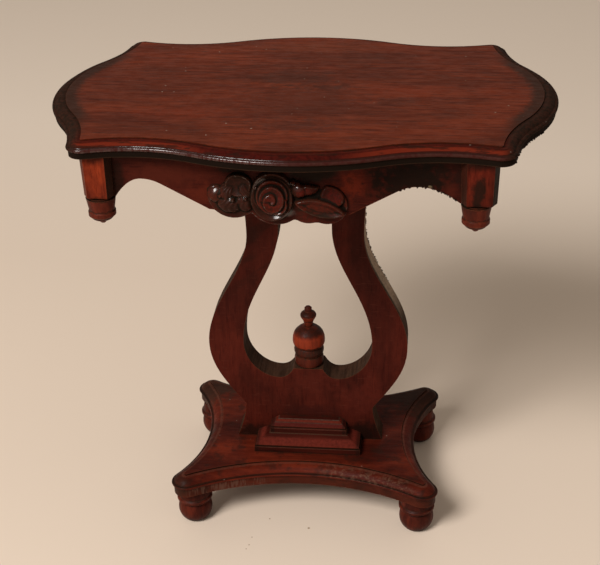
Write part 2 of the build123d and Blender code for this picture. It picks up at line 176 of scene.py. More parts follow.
def axes(vector):
    """The X, Y and Z of a vector."""
    return put(tree_of(vector), "SeparateXYZ", {0: vector}).outputs


def spread(value, low, high, out_low=0.0, out_high=1.0, shape="SMOOTHSTEP"):
    """Maps low..high to out_low..out_high with soft ends, and holds it there."""
    feeds = {
        "Value": value, "From Min": low, "From Max": high, "To Min": out_low, "To Max": out_high,
    }
    return put(tree_of(value), "MapRange", feeds, interpolation_type=shape).outputs["Result"]


def mixed(share, first, second, blend="MIX"):
    """Colour between first and second."""
    tree = tree_of(share, first, second)
    node = put(tree, "Mix", data_type="RGBA", blend_type=blend, clamp_factor=True)
    for number, value in ((0, share), (6, first), (7, second)):
        feed(node.inputs[number], value)
    return node.outputs[2]


def times(*factors):
    """The product of several masks or numbers."""
    product = factors[0]
    for factor in factors[1:]:
        product = maths("MULTIPLY", product, factor)
    return product


def tint(colour, tone, *masks):
    """The colour with tone laid over it where every mask is 1."""
    return mixed(times(*masks), colour, tone)


print("colour helpers ready")

# %% [markdown]
# ## The floor
# The table stands on a sheet of warm pale paper, with a few specks of sawdust on it. The paper's
# colour is painted brighter toward the light and toward the back, as painted light that stands in
# for the fall of the lamp's light across it.

# %% Floor
paper_tone = (0.80, 0.665, 0.545)
painted_light_tone = (0.91, 0.765, 0.635)
painted_far_light_tone = (0.91, 0.785, 0.665)
speck_tone = (0.36, 0.22, 0.12)
speck_core = 0.4
floor_size = 1500 * mm
floor_specks = (
    (-5.3, -11.3, 0.16), (0.7, -13.0, 0.24), (-7.6, -17.3, 0.15), (-7.4, -15.6, 0.13),
    (-7.9, -18.2, 0.13),
)

paper, paper_tree, paper_shader = paint("warm_paper")
paper_shader.inputs["Roughness"].default_value = 0.7
paper_shader.inputs["Specular IOR Level"].default_value = 0.25
on_floor = put(paper_tree, "TexCoord").outputs["Object"]
paper_colour = paper_tone
# painted light: the paper is made brighter toward the lamp and toward the back
for way, begins, ends, amount, tone in (
    ((0.45, -0.89, 0), -20, 90, 1.0, painted_light_tone),
    ((0.2, 0.98, 0), 55, 125, 0.75, painted_far_light_tone),
):
    along = vector_maths("DOT_PRODUCT", on_floor, way)
    share = spread(along, begins * mm, ends * mm, 0, amount, "LINEAR")
    paper_colour = mixed(share, paper_colour, tone)
for speck_x, speck_y, size in floor_specks:
    away = vector_maths("DISTANCE", on_floor, (speck_x * mm, speck_y * mm, 0))
    share = spread(away, size * mm, size * speck_core * mm, shape="LINEAR")
    paper_colour = mixed(share, paper_colour, speck_tone)
feed(paper_shader.inputs["Base Color"], paper_colour)

sheet = bmesh.new()
bmesh.ops.create_grid(sheet, x_segments=1, y_segments=1, size=floor_size)
floor_mesh = bpy.data.meshes.new("paper_sheet")
sheet.to_mesh(floor_mesh)
sheet.free()
floor_mesh.materials.append(paper)
floor = bpy.data.objects.new("paper_sheet", floor_mesh)
scene.collection.objects.link(floor)
floor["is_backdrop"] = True
print("specks on the floor:", len(floor_specks))

# %% [markdown]
# ## The light
# One large soft light from the left and in front gives the long soft shadow on the right. The rest
# of the light comes from the world, which is brighter behind the table, where a pale backdrop
# would stand, than in front, where the room is.

# %% World and lights
air_tone = (1.0, 0.90, 0.79)
front_air, back_air = 0.24, 0.42
light_aim = Vector((0, 0, 0.03))
light_way = Vector((-0.404, -0.601, 0.690))
light_distance, light_side, light_watts = 0.5, 0.18, 2.25
light_tone = (1.0, 0.965, 0.925)

scene.view_settings.view_transform = "Standard"
world = bpy.data.worlds.new("studio_air")
world.use_nodes = True
scene.world = world
sky = world.node_tree
air = sky.nodes["Background"]
feed(air.inputs["Color"], air_tone)
toward_back = axes(put(sky, "TexCoord").outputs["Generated"])["Y"]
feed(air.inputs["Strength"], spread(toward_back, -1, 1, front_air, back_air, "LINEAR"))

box = bpy.data.lights.new("window_light", "AREA")
box.size = light_side
box.energy = light_watts
box.color = light_tone
lamp = bpy.data.objects.new("window_light", box)
lamp.location = light_aim + light_way * light_distance
lamp.rotation_euler = (-light_way).to_track_quat("-Z", "Y").to_euler()
scene.collection.objects.link(lamp)
print("light at in mm:", [round(value / mm) for value in lamp.location])

# %% [markdown]
# ## The carved spray of roses
# On the real table a spray of roses is cut into a thin plate glued to the apron: a leafy bud, a
# full-blown rose, a small bud, a long leaf and a round petal. It could be sculpted by hand, or each
# petal could be bent from a sheet. A carver works down from a flat face, so a height over every
# point of the plate says the same thing. Each form is a dome, a cup, a leaf or a spiral of petals,
# and where two forms meet the higher one shows.

# %% Shapes that a carver cuts
import numpy as np


lobe_flatness = 0.42
cup_round, cup_round_from = 0.12, 0.92
curl_reach, curl_power = 0.8, 1.5
fall_from, whorl_wall = 0.86, 0.07
leaf_rim, leaf_sink = 0.18, 0.5


def turned(x, z, place, degrees):
    """Coordinates about place, turned by degrees."""
    angle = math.radians(degrees)
    across, along = x - place[0], z - place[1]
    return (
        across * math.cos(angle) + along * math.sin(angle),
        along * math.cos(angle) - across * math.sin(angle),
    )


def blended(first, second, softness):
    """The lower of two distances, with the corner between them rounded."""
    share = np.clip(0.5 + 0.5 * (second - first) / softness, 0, 1)
    return second + (first - second) * share - softness * share * (1 - share)


def raised(away, height, wall):
    """A flat form of that height, rounded down to nothing over the last wall before its edge."""
    fall = np.clip(-away / wall, 0, 1)
    return height * np.sqrt(1 - (1 - fall) ** 2)


def lobe(x, z, place, size, degrees, height):
    """A swelling lobe, a little flatter on top than an ellipsoid."""
    u, v = turned(x, z, place, degrees)
    inside = np.clip(1 - (u / size[0]) ** 2 - (v / size[1]) ** 2, 0, 1)
    return height * inside ** lobe_flatness


def cup(x, z, place, size, rim, hollow, lean, toward, wall=0.08):
    """A cupped petal: a dish with its rim raised, leaning up toward one side."""
    u, v = (x - place[0]) / size[0], (z - place[1]) / size[1]
    away = np.hypot(u, v)
    side = np.cos(np.arctan2(v, u) - math.radians(toward))
    lip = rim + lean * side * np.clip(away, 0, 1)
    dish = lip - hollow * (1 - np.clip(away, 0, 1) ** 3)
    rounding = cup_round * np.clip((away - cup_round_from) / (1 - cup_round_from), 0, 1) ** 2
    return np.where(away < 1, dish - rounding, dish * np.clip(1 - (away - 1) / wall, 0, 1))


def whorl(x, z, place, size, pitch, start, top, drop, rise):
    """Petals wound in a spiral: each turn is a step lower, and its outer rim curls up by rise."""
    u, v = (x - place[0]) / size[0], (z - place[1]) / size[1]
    away = np.hypot(u, v)
    wound = away / pitch - np.arctan2(v, u) / (2 * math.pi) + start
    turn, along = np.floor(wound), wound % 1.0
    curl = rise * np.clip(along / curl_reach, 0, 1) ** curl_power
    fall = np.clip((along - fall_from) / (1 - fall_from), 0, 1)
    height = top - drop * (turn + fall) + curl * (1 - fall)
    return height * np.clip((1 - away) / whorl_wall, 0, 1) ** 0.5


def leaf_blade(x, z, place, half_length, half_width, degrees, height, hollow):
    """A pointed leaf with a raised rim and a sunk middle."""
    u, v = turned(x, z, place, degrees)
    bulge = (half_length ** 2 - half_width ** 2) / (2 * half_width)
    reach = bulge + half_width
    inward = np.minimum(reach - np.hypot(u, v - bulge), reach - np.hypot(u, v + bulge))
    rim = np.clip(inward / leaf_rim, 0, 1)
    sunk = hollow * np.clip((inward - leaf_rim) / leaf_sink, 0, 1)
    return np.where(inward > 0, height * np.sqrt(1 - (1 - rim) ** 2) - sunk, 0)


print("carver's shapes ready")

# %% [markdown]
# Every size below is in millimetres on the plate: across the table, and height over the floor. The
# rose is a nest of cups, each a little off the middle of the last, so that the gaps between their
# rims turn into crescents, round a heart whose petals wind inward.

# %% Lay out the spray
plate_thickness = 0.5
plate_round = 0.16
plate_top = 59.6
plate_fade_from, plate_fade_to = 55.4, 57.6
scallop_blend, top_blend = 0.45, 0.5
sunk_ground = 0.08
plate_back = 0.3
plate_scallops = (
    ((-7.05, 56.4), 3.3),
    ((-1.8, 56.0), 3.7),
    ((2.2, 55.2), 2.65),
    ((4.5, 55.1), 2.6),
)
bud_lobes = (
    ((-9.2, 56.5), (1.05, 1.1), 20, 0.62),
    ((-7.8, 56.7), (1.05, 1.25), -20, 0.85),
    ((-7.5, 55.25), (1.5, 1.2), -8, 0.92),
    ((-5.65, 55.5), (1.0, 1.3), 12, 0.85),
    ((-5.5, 56.95), (0.95, 1.15), 15, 0.9),
    ((-8.6, 56.35), (0.34, 0.26), 25, 1.0),
    ((-7.0, 55.95), (0.28, 0.28), 0, 1.2),
    ((-5.4, 56.1), (0.28, 0.26), 0, 1.15),
    ((-6.65, 58.9), (0.3, 0.26), 20, 0.95),
    ((-5.6, 58.7), (0.35, 0.26), -25, 0.95),
    ((-4.15, 57.5), (0.3, 0.35), 0, 1.15),
)
bud_cup = ((-6.35, 57.7), (1.6, 1.4), 0.85, 0.35, 0.12, 60)
bud_foot, bud_right_side = (-6.6, 58.4), -4.4
gouge_count, gouge_depth, gouge_wander, gouge_turns, gouge_full_at = 31, 0.085, 2.2, 3, 0.4
rose_heart = (-2.2, 56.4)
rose_cups = (
    ((0.03, 0.45), (2.42, 2.5), 0.85, 0.6, 0.12, 130),
    ((0.0, -0.3), (2.5, 2.75), 1.0, 0.78, 0.1, 300),
    ((0.05, 0.1), (1.92, 2.1), 1.22, 0.34, 0.12, 120),
    ((0.72, -0.78), (1.22, 1.28), 1.36, 0.36, 0.16, 315),
)
rose_whorl = ((0.06, -0.28), (1.66, 1.86), 0.62, 0.43, 1.58, 0.14, 0.18)
petal_place, petal_radius, petal_height, petal_wall = (5.2, 56.35), 1.5, 0.5, 0.3
small_buds = (
    ((1.15, 57.25), (1.1, 1.0), 10, 1.25),
    ((2.35, 57.45), (1.35, 0.95), 15, 1.0),
    ((3.2, 57.95), (0.65, 0.35), -10, 0.85),
    ((0.4, 58.1), (0.35, 0.35), 40, 1.1),
    ((0.05, 57.4), (0.3, 0.3), 0, 1.15),
    ((1.85, 58.75), (0.7, 0.4), 5, 0.8),
)
leaf = ((3.75, 55.0), 3.35, 1.15, -13, 1.0, 0.32)


def plate_distance(x, z):
    """How far a point lies outside the scalloped plate; below 0 is inside."""
    nearest = None
    for place, radius in plate_scallops:
        away = np.hypot(x - place[0], z - place[1]) - radius
        nearest = away if nearest is None else blended(nearest, away, scallop_blend)
    return -blended(-nearest, plate_top - z, top_blend)


def smoothed(field, reach):
    """The field averaged over a square of that many cells each way."""
    padded = np.pad(field, reach, mode="edge")
    total = np.zeros_like(field)
    for down in range(2 * reach + 1):
        for over in range(2 * reach + 1):
            total += padded[down:down + field.shape[0], over:over + field.shape[1]]
    return total / (2 * reach + 1) ** 2


def from_heart(offset):
    """A place on the plate, given from the middle of the rose."""
    return rose_heart[0] + offset[0], rose_heart[1] + offset[1]


def spray_height(x, z):
    """Height of the carving over the apron's face at a point."""
    fade = np.clip((plate_fade_to - z) / (plate_fade_to - plate_fade_from), 0, 1)
    fade = fade * fade * (3 - 2 * fade)
    ground = raised(plate_distance(x, z), plate_thickness, plate_round)
    edge = ground / plate_thickness
    ground = ground * fade - sunk_ground * (1 - fade)
    forms = np.zeros_like(x)
    for place, size, degrees, height in bud_lobes + small_buds:
        forms = np.maximum(forms, lobe(x, z, place, size, degrees, height))
    fan = np.arctan2(z - bud_foot[1], x - bud_foot[0])
    wander = gouge_wander * np.sin(gouge_turns * z)
    gouged = gouge_depth * (0.5 + 0.5 * np.cos(gouge_count * fan + wander))
    forms = forms - gouged * np.clip(forms / gouge_full_at, 0, 1) * (x < bud_right_side)
    past_petal = np.hypot(x - petal_place[0], z - petal_place[1]) - petal_radius
    forms = np.maximum(forms, raised(past_petal, petal_height, petal_wall))
    forms = np.maximum(forms, leaf_blade(x, z, *leaf))
    forms = np.maximum(forms, cup(x, z, *bud_cup))
    for offset, *shape in rose_cups:
        forms = np.maximum(forms, cup(x, z, from_heart(offset), *shape))
    offset, *shape = rose_whorl
    forms = np.maximum(forms, whorl(x, z, from_heart(offset), *shape))
    return ground + forms * edge


grid_step = 0.07
spray_across, spray_up = (-10.6, 7.6), (52.0, 60.0)
hollow_reach, deepest_hollow = 4, 0.16
crest_reach, highest_crest = 3, 0.1
grid_x, grid_z = np.meshgrid(np.arange(*spray_across, grid_step), np.arange(*spray_up, grid_step))
grid_height = spray_height(grid_x, grid_z)
grid_hollow = (smoothed(grid_height, hollow_reach) - grid_height) / deepest_hollow
grid_crest = (grid_height - smoothed(grid_height, crest_reach)) / highest_crest
grid_hollow, grid_crest = np.clip(grid_hollow, 0, 1), np.clip(grid_crest, 0, 1)
print("highest relief in mm:", round(float(grid_height.max()), 2))

# %% [markdown]
# The heights become a mesh: one vertex for each point inside the outline, with the outermost row
# drawn onto the outline itself, and a flat back to close it. The same spray, turned half round,
# serves the back of the table.


# %% Make the two sprays
rim_share, rim_steps, slope_reach = 0.45, 3, 1e-3


def spray_mesh(name, face_y, outward):
    """The carved plate as a closed mesh on the face at face_y; outward is -1 in front, 1 behind."""
    rows, columns = grid_x.shape
    half = grid_step / 2
    centre = plate_distance(grid_x[:-1, :-1] + half, grid_z[:-1, :-1] + half)

    # the outermost points move down the slope of the distance until they lie on the outline
    rim = plate_distance(grid_x, grid_z) > -rim_share * grid_step
    x, z = grid_x, grid_z
    for _ in range(rim_steps):
        away = plate_distance(x, z)
        slope_x = (plate_distance(x + slope_reach, z) - away) / slope_reach
        slope_z = (plate_distance(x, z + slope_reach) - away) / slope_reach
        x = np.where(rim, x - away * slope_x, x)
        z = np.where(rim, z - away * slope_z, z)
    height = np.where(rim, 0, grid_height)

    mesh = bmesh.new()
    made = {}
    hollow_layer = mesh.verts.layers.float.new("hollow")
    crest_layer = mesh.verts.layers.float.new("crest")

    def corner(row, column):
        if (row, column) not in made:
            spot = Vector((-outward * x[row, column], 0, z[row, column])) * mm
            spot.y = face_y + outward * height[row, column] * mm
            vertex = mesh.verts.new(spot)
            vertex[hollow_layer] = float(grid_hollow[row, column])
            vertex[crest_layer] = float(grid_crest[row, column])
            made[row, column] = vertex
        return made[row, column]

    for row in range(rows - 1):
        for column in range(columns - 1):
            if centre[row, column] < 0:
                ring = [
                    corner(row, column), corner(row, column + 1),
                    corner(row + 1, column + 1), corner(row + 1, column),
                ]
                mesh.faces.new(ring)
    rim_edges = [edge for edge in mesh.edges if edge.is_boundary]
    grown = bmesh.ops.extrude_edge_only(mesh, edges=rim_edges)["geom"]
    for part in grown:
        if isinstance(part, bmesh.types.BMVert):
            part.co.y = face_y - outward * plate_back * mm
    bmesh.ops.holes_fill(mesh, edges=[edge for edge in mesh.edges if edge.is_boundary])
    bmesh.ops.recalc_face_normals(mesh, faces=mesh.faces)
    data = bpy.data.meshes.new(name)
    mesh.to_mesh(data)
    mesh.free()
    for face in data.polygons:
        face.use_smooth = True
    made_object = bpy.data.objects.new(name, data)
    scene.collection.objects.link(made_object)
    return made_object


front_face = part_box("front_rose_carving")[1].y
back_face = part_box("back_rose_carving")[0].y
front_spray = spray_mesh("front_rose_spray", front_face, -1)
back_spray = spray_mesh("back_rose_spray", back_face, 1)
for spray, node in ((front_spray, "front_rose_carving"), (back_spray, "back_rose_carving")):
    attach(spray, "root")
    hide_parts(node)
print("faces in one spray:", len(front_spray.data.polygons))

# %% [markdown]
# ## Finishes
# Every part of the table is the same dark red mahogany stain over pale wood, rubbed with wax. What
# the parts share is made once, as shader node groups: the figure of the wood, the darkening of
# corners by settled stain and painted shade, the rubbed edges that also carry a painted highlight,
# loose patches of stain and of painted shade, and dust. Each material then places the groups with
# its own grain direction and tones. Object coordinates keep the pattern in the wood, and
# multiplying them by 1000 lets every scale below be read as a number per millimetre.

# %% Helpers for patterns
def noise(vector, scale, detail=3.0, roughness=0.5, distortion=0.0):
    feeds = {
        "Vector": vector, "Scale": scale, "Detail": detail,
        "Roughness": roughness, "Distortion": distortion,
    }
    return put(tree_of(vector), "TexNoise", feeds).outputs[0]


def cloudy(vector, scale, detail, roughness, low, high, *out):
    """Noise with its contrast raised: 0 below low and 1 above high, or the two outs."""
    return spread(noise(vector, scale, detail, roughness), low, high, *out)


def facing(tree):
    """The X, Y and Z of the surface's own direction."""
    return axes(put(tree, "NewGeometry").outputs["Normal"])


def size_of(value):
    """The value without its sign."""
    return maths("ABSOLUTE", value)


def band(value, low, high, soft):
    """1 between low and high, falling to 0 over soft on each side."""
    rising = spread(value, low - soft, low)
    falling = spread(value, high, high + soft, 1.0, 0.0)
    return times(rising, falling)


print("pattern helpers ready")


# %% Helpers for node groups
def new_group(name, inputs, *outputs):
    """A shader node group with named number sockets; returns its tree, its inputs and its end."""
    tree = bpy.data.node_groups.new(name, "ShaderNodeTree")
    tree.interface.new_socket("Vector", in_out="INPUT", socket_type="NodeSocketVector")
    for title, value in inputs.items():
        kind = "Vector" if isinstance(value, tuple) else "Float"
        socket = tree.interface.new_socket(title, in_out="INPUT", socket_type="NodeSocket" + kind)
        socket.default_value = value
    for title in outputs:
        tree.interface.new_socket(title, in_out="OUTPUT", socket_type="NodeSocketFloat")
    start = tree.nodes.new("NodeGroupInput")
    end = tree.nodes.new("NodeGroupOutput")
    return tree, start.outputs, end.inputs


def use_group(tree, group, feeds):
    """Places a node group with its feeds and returns its outputs."""
    return put(tree, "Group", feeds, node_tree=group).outputs


print("group helpers ready")

# %% [markdown]
# ### The figure of the wood
# Mahogany shows fine dark pores drawn out along the grain, wider streaks, and slow clouds where the
# stain took unevenly. Wood textures could be painted, but noise stretched along one axis gives all
# three. The grain runs along the group's X, and each material turns its coordinates to suit.

# %% Group: wood figure
figure, given, result = new_group(
    "wood_figure", {"Stretch": 12.0, "Fineness": 1.0, "Cloud Size": 6.0},
    "Streaks", "Pores", "Clouds", "Mottle",
)
squeeze = maths("DIVIDE", 1.0, given["Stretch"])
along_grain = put(figure, "CombineXYZ", {"X": squeeze, "Y": 1.0, "Z": 1.0}).outputs[0]
drawn = stretched(given["Vector"], along_grain)
scaling = {0: drawn, "Scale": given["Fineness"]}
fine = put(figure, "VectorMath", scaling, operation="SCALE").outputs[0]
slow = stretched(given["Vector"], (0.45, 1.0, 1.0))
cloud_scale = maths("DIVIDE", 1.0, given["Cloud Size"])
mottle_scale = maths("MULTIPLY", cloud_scale, 7.0)
for title, low, high, pattern in (
    ("Streaks", 0.3, 0.7, (fine, 1.5, 6.0, 0.68, 0.35)),
    ("Pores", 0.56, 0.68, (fine, 5.5, 2.0, 0.5)),
    ("Clouds", 0.32, 0.68, (slow, cloud_scale, 4.0, 0.55, 0.4)),
    ("Mottle", 0.3, 0.7, (slow, mottle_scale, 3.0, 0.6, 0.2)),
):
    feed(result[title], spread(noise(*pattern), low, high))
print("group:", figure.name, [socket.name for socket in result if socket.name])

# %% [markdown]
# ### Corners and edges
# Wax and old stain settle in inside corners, and the corners are also painted darker as painted
# shade. Handling rubs outside edges back to brighter wood, and that lighter edge also serves as a
# painted highlight. An ambient occlusion node finds the corners. A bevel node, which rounds the
# shading only, differs from the true normal next to an edge, and that difference is the mask for
# wear and painted highlight.

# %% Groups: settled stain with painted corner shade, and rubbed edges with painted highlight
# painted shade: ambient occlusion darkens inside corners, together with the stain settled there
corners, given, result = new_group("stain_and_shade_in_corners", {"Reach": 0.8 * mm, "Raggedness": 0.35}, "Mask")
occluded = put(corners, "AmbientOcclusion", {"Distance": given["Reach"]}, samples=6).outputs["AO"]
closed_in = maths("SUBTRACT", 1.0, occluded)
broken = cloudy(given["Vector"], 1.3, 4.0, 0.6, 0.3, 0.7, -0.5, 0.5)
closed_in = maths("ADD", closed_in, times(broken, given["Raggedness"]))
feed(result["Mask"], spread(closed_in, 0.3, 0.85))

# rubbed edges: wear, and also a painted highlight along outside edges
edges, given, result = new_group("rubbed_and_highlit_edge", {"Radius": 0.18 * mm, "Raggedness": 0.5}, "Mask")
open_reach = 0.6 * mm
rounded = put(edges, "Bevel", {"Radius": given["Radius"]}, samples=6).outputs[0]
true_normal = put(edges, "NewGeometry").outputs["Normal"]
agreement = vector_maths("DOT_PRODUCT", rounded, true_normal)
edge = spread(agreement, 0.985, 0.9)
open_air = put(edges, "AmbientOcclusion", {"Distance": open_reach}, samples=4).outputs["AO"]
edge = times(edge, spread(open_air, 0.55, 0.85))
patchy = cloudy(given["Vector"], 1.1, 3.0, 0.6, 0.42, 0.6)
kept = maths("SUBTRACT", 1.0, times(patchy, given["Raggedness"]))
feed(result["Mask"], maths("MULTIPLY", edge, kept, clamp=True))
print("groups:", corners.name, edges.name)

# %% [markdown]
# ### Patches of stain, and dust
# A patch is an ellipsoid of influence with a ragged edge, placed where the stain is darker, redder
# or rubbed away, and also where shade is painted. Dust is a scatter of pale specks on what faces
# up.

# %% Groups: stain and shade patch, and dust
patch_inputs = {"Centre": (0, 0, 0), "Reach": (1, 1, 1), "Softness": 0.6, "Raggedness": 0.3}
patch, given, result = new_group("stain_and_shade_patch", patch_inputs, "Mask")
from_centre = vector_maths("SUBTRACT", given["Vector"], given["Centre"])
share = vector_maths("DIVIDE", from_centre, given["Reach"])
reach = vector_maths("LENGTH", share)
wander = cloudy(given["Vector"], 0.9, 4.0, 0.6, 0.25, 0.75, -0.6, 0.6)
reach = maths("ADD", reach, times(wander, given["Raggedness"]))
inner = maths("SUBTRACT", 1.0, given["Softness"])
feed(result["Mask"], spread(reach, inner, 1.0, 1.0, 0.0))

dust, given, result = new_group("dust_specks", {"Per Millimetre": 0.6, "Size": 0.1}, "Mask")
cells = put(dust, "TexVoronoi", {"Vector": given["Vector"], "Scale": given["Per Millimetre"]})
span = maths("DIVIDE", cells.outputs["Distance"], given["Per Millimetre"])
chance = put(dust, "SeparateColor", {0: cells.outputs["Color"]}).outputs[0]
size = times(given["Size"], spread(chance, 0.35, 1.0))
speck = maths("LESS_THAN", span, size)
facing_up = spread(facing(dust)["Z"], 0.6, 0.95)
feed(result["Mask"], times(speck, facing_up))
print("groups:", patch.name, dust.name)

# %% [markdown]
# ### One stained wood, many tones
# The maker of the real table stained each piece apart, so the top is hazy red-brown and the posts
# are orange; the corners are nearly black from settled stain and painted shade. One function builds
# the shared layers in order: clouds, streaks, pores, patches of stain and painted shade, settled
# stain with painted shade in corners, rubbed edges with a painted highlight, dust. The tones are
# linear colours, dark to light.

# %% The stained wood
grain_along_x = (0, 0, 0)
grain_along_z = (0, math.radians(90), 0)
olive_black = (0.014, 0.010, 0.006)
rub_and_highlight_orange = (0.30, 0.075, 0.028)
dust_grey = (0.34, 0.27, 0.21)
deeper_streak, brighter_streak = (0.55, 0.48, 0.5), (1.35, 1.45, 1.4)
mottle_shade, pore_shade = (0.62, 0.55, 0.6), (0.45, 0.38, 0.42)
tooth_depth = 0.03 * mm
usual_look = {
    "stretch": 12.0, "fineness": 1.0, "clouds": 7.0, "streaks": 0.5, "pores": 0.35, "mottle": 0.3,
    "corner": 0.85, "corner_reach": 0.8 * mm, "edge": 0.35, "edge_radius": 0.18 * mm,
    "rough": 0.42, "dust": 0.0, "bump": 0.35, "shine": 0.045,
}


def patch_mask(place, centre, reach, softness, ragged):
    """1 in the ellipsoid of that centre and reach, 0 outside it, with a ragged edge."""
    feeds = {
        "Vector": place, "Centre": centre, "Reach": reach,
        "Softness": softness, "Raggedness": ragged,
    }
    return use_group(tree_of(place), patch, feeds)["Mask"]


def stained_wood(name, grain, dark, light, extra=None, patches=(), **changes):
    """A stained mahogany material. A patch is (centre, reach, tone, amount, softness, raggedness).

    extra(tree, shader, place, colour, rough) may add a piece's own marks, and changes go over
    the usual look.
    """
    look = {**usual_look, **changes}
    material, tree, shader = paint(name)
    here = put(tree, "TexCoord").outputs["Object"]
    place = put(tree, "VectorMath", {0: here, "Scale": 1 / mm}, operation="SCALE").outputs[0]
    seed = random.Random(name)
    offset = tuple(seed.uniform(-40, 40) for _ in range(3))
    turned_to = {"Vector": place, "Rotation": grain, "Location": offset}
    wood = use_group(tree, figure, {
        "Vector": put(tree, "Mapping", turned_to).outputs[0], "Stretch": look["stretch"],
        "Fineness": look["fineness"], "Cloud Size": look["clouds"],
    })

    colour = mixed(wood["Clouds"], dark, light)
    deeper = mixed(1.0, colour, deeper_streak, "MULTIPLY")
    brighter = mixed(1.0, colour, brighter_streak, "MULTIPLY")
    streaked = mixed(wood["Streaks"], deeper, brighter)
    colour = mixed(look["streaks"], colour, streaked)
    for mask, amount, shade in (("Mottle", "mottle", mottle_shade), ("Pores", "pores", pore_shade)):
        shaded = mixed(1.0, colour, shade, "MULTIPLY")
        colour = tint(colour, shaded, wood[mask], look[amount])
    for centre, reach, tone, amount, softness, ragged in patches:
        colour = tint(colour, tone, patch_mask(place, centre, reach, softness, ragged), amount)
    rough = spread(wood["Mottle"], 0, 1, look["rough"] - 0.06, look["rough"] + 0.08)
    if extra:
        colour, rough = extra(tree, shader, place, colour, rough)

    # painted shade in inside corners, together with the settled stain
    stain_and_corner_shade = use_group(tree, corners, {"Vector": place, "Reach": look["corner_reach"]})["Mask"]
    stain_and_corner_shade = times(stain_and_corner_shade, look["corner"])
    colour = tint(colour, olive_black, stain_and_corner_shade)
    rough = maths("ADD", rough, times(stain_and_corner_shade, 0.15), clamp=True)
    # outside edges made lighter: wear together with a painted highlight
    worn = use_group(tree, edges, {"Vector": place, "Radius": look["edge_radius"]})["Mask"]
    colour = tint(colour, rub_and_highlight_orange, worn, look["edge"])
    if look["dust"]:
        specks = use_group(tree, dust, {"Vector": place})["Mask"]
        colour = tint(colour, dust_grey, specks, look["dust"])

    relief = maths("SUBTRACT", wood["Streaks"], wood["Pores"])
    tooth = noise(place, 3.0, 4.0, 0.6)
    relief = maths("ADD", relief, times(tooth, 1.5))
    bump = {"Height": relief, "Distance": tooth_depth, "Strength": look["bump"]}
    feed(shader.inputs["Base Color"], colour)
    feed(shader.inputs["Roughness"], rough)
    feed(shader.inputs["Normal"], put(tree, "Bump", bump).outputs[0])
    shader.inputs["Specular IOR Level"].default_value = look["shine"]
    return material


print("stained wood ready")

# %% [markdown]
# ### The top
# The flat field is hazy and brown. Round it the moulding changes: orange and crimson on the front,
# dull olive where old wax lies at the two ends. The bead along the front still shines toward its
# left half. The fillet under the bead is painted nearly black as the bead's shade, and a dark line
# of painted shadow lies in the quirk over the bead. Height picks out each member of the moulding.

# %% Marks on the top
field_level = cad_high.z / mm
step_foot = field_level - 0.18
bead_top = field_level - 0.68
bead_foot = field_level - 1.2
fillet_foot = field_level - 1.93
front_fades_in = (-12.5, -16.0)
front_stops = (25.2, 26.8)
round_end_centre, round_end_shade = 13.58, (15.6, 17.0)
round_end_from = (25.0, 28.0)
rubbed_middle, rubbed_sides = -1.5, (6.5, 13.0)
bead_wear_from, bead_gloss_from = (-2.0, 4.0), (2.5, -3.0)


def front_moulding(place, x, z, fleck, bead, fillet):
    """Colours of the front's ovolo, bead and fillet."""
    # ovolo: crimson, with the upper part rubbed to orange left and right
    crimson = mixed(spread(fleck, 0.3, 0.7), (0.026, 0.003, 0.002), (0.060, 0.006, 0.0035))
    off_middle = size_of(maths("SUBTRACT", x, rubbed_middle))
    upper = band(z, step_foot - 0.34, step_foot - 0.07, 0.1)
    rubbed = times(spread(off_middle, *rubbed_sides), upper)
    ovolo = tint(crimson, (0.135, 0.0165, 0.0065), rubbed, 0.9)
    blotch = cloudy(stretched(place, (0.25, 1, 2)), 0.9, 4.0, 0.65, 0.5, 0.62)
    ovolo = tint(ovolo, (0.016, 0.0065, 0.004), blotch, 0.75)

    # bead: dark, glossy to the left, dull and greyish to the right
    worn = times(spread(x, *bead_wear_from), spread(fleck, 0.35, 0.6), 0.6)
    beading = tint((0.042, 0.009, 0.007), (0.055, 0.024, 0.019), worn)
    front = mixed(bead, ovolo, beading)
    # painted shadow in the quirk between ovolo and bead
    quirk_shadow_line = band(z, bead_top - 0.02, bead_top + 0.08, 0.05)
    front = tint(front, (0.018, 0.006, 0.004), quirk_shadow_line, 0.6)
    # painted shade: the fillet under the bead is darkened as the bead's shade
    front = tint(front, (0.0085, 0.0048, 0.003), fillet)
    lower_edge = spread(z, fillet_foot + 0.07, fillet_foot)
    return tint(front, (0.030, 0.020, 0.012), lower_edge, 0.25)


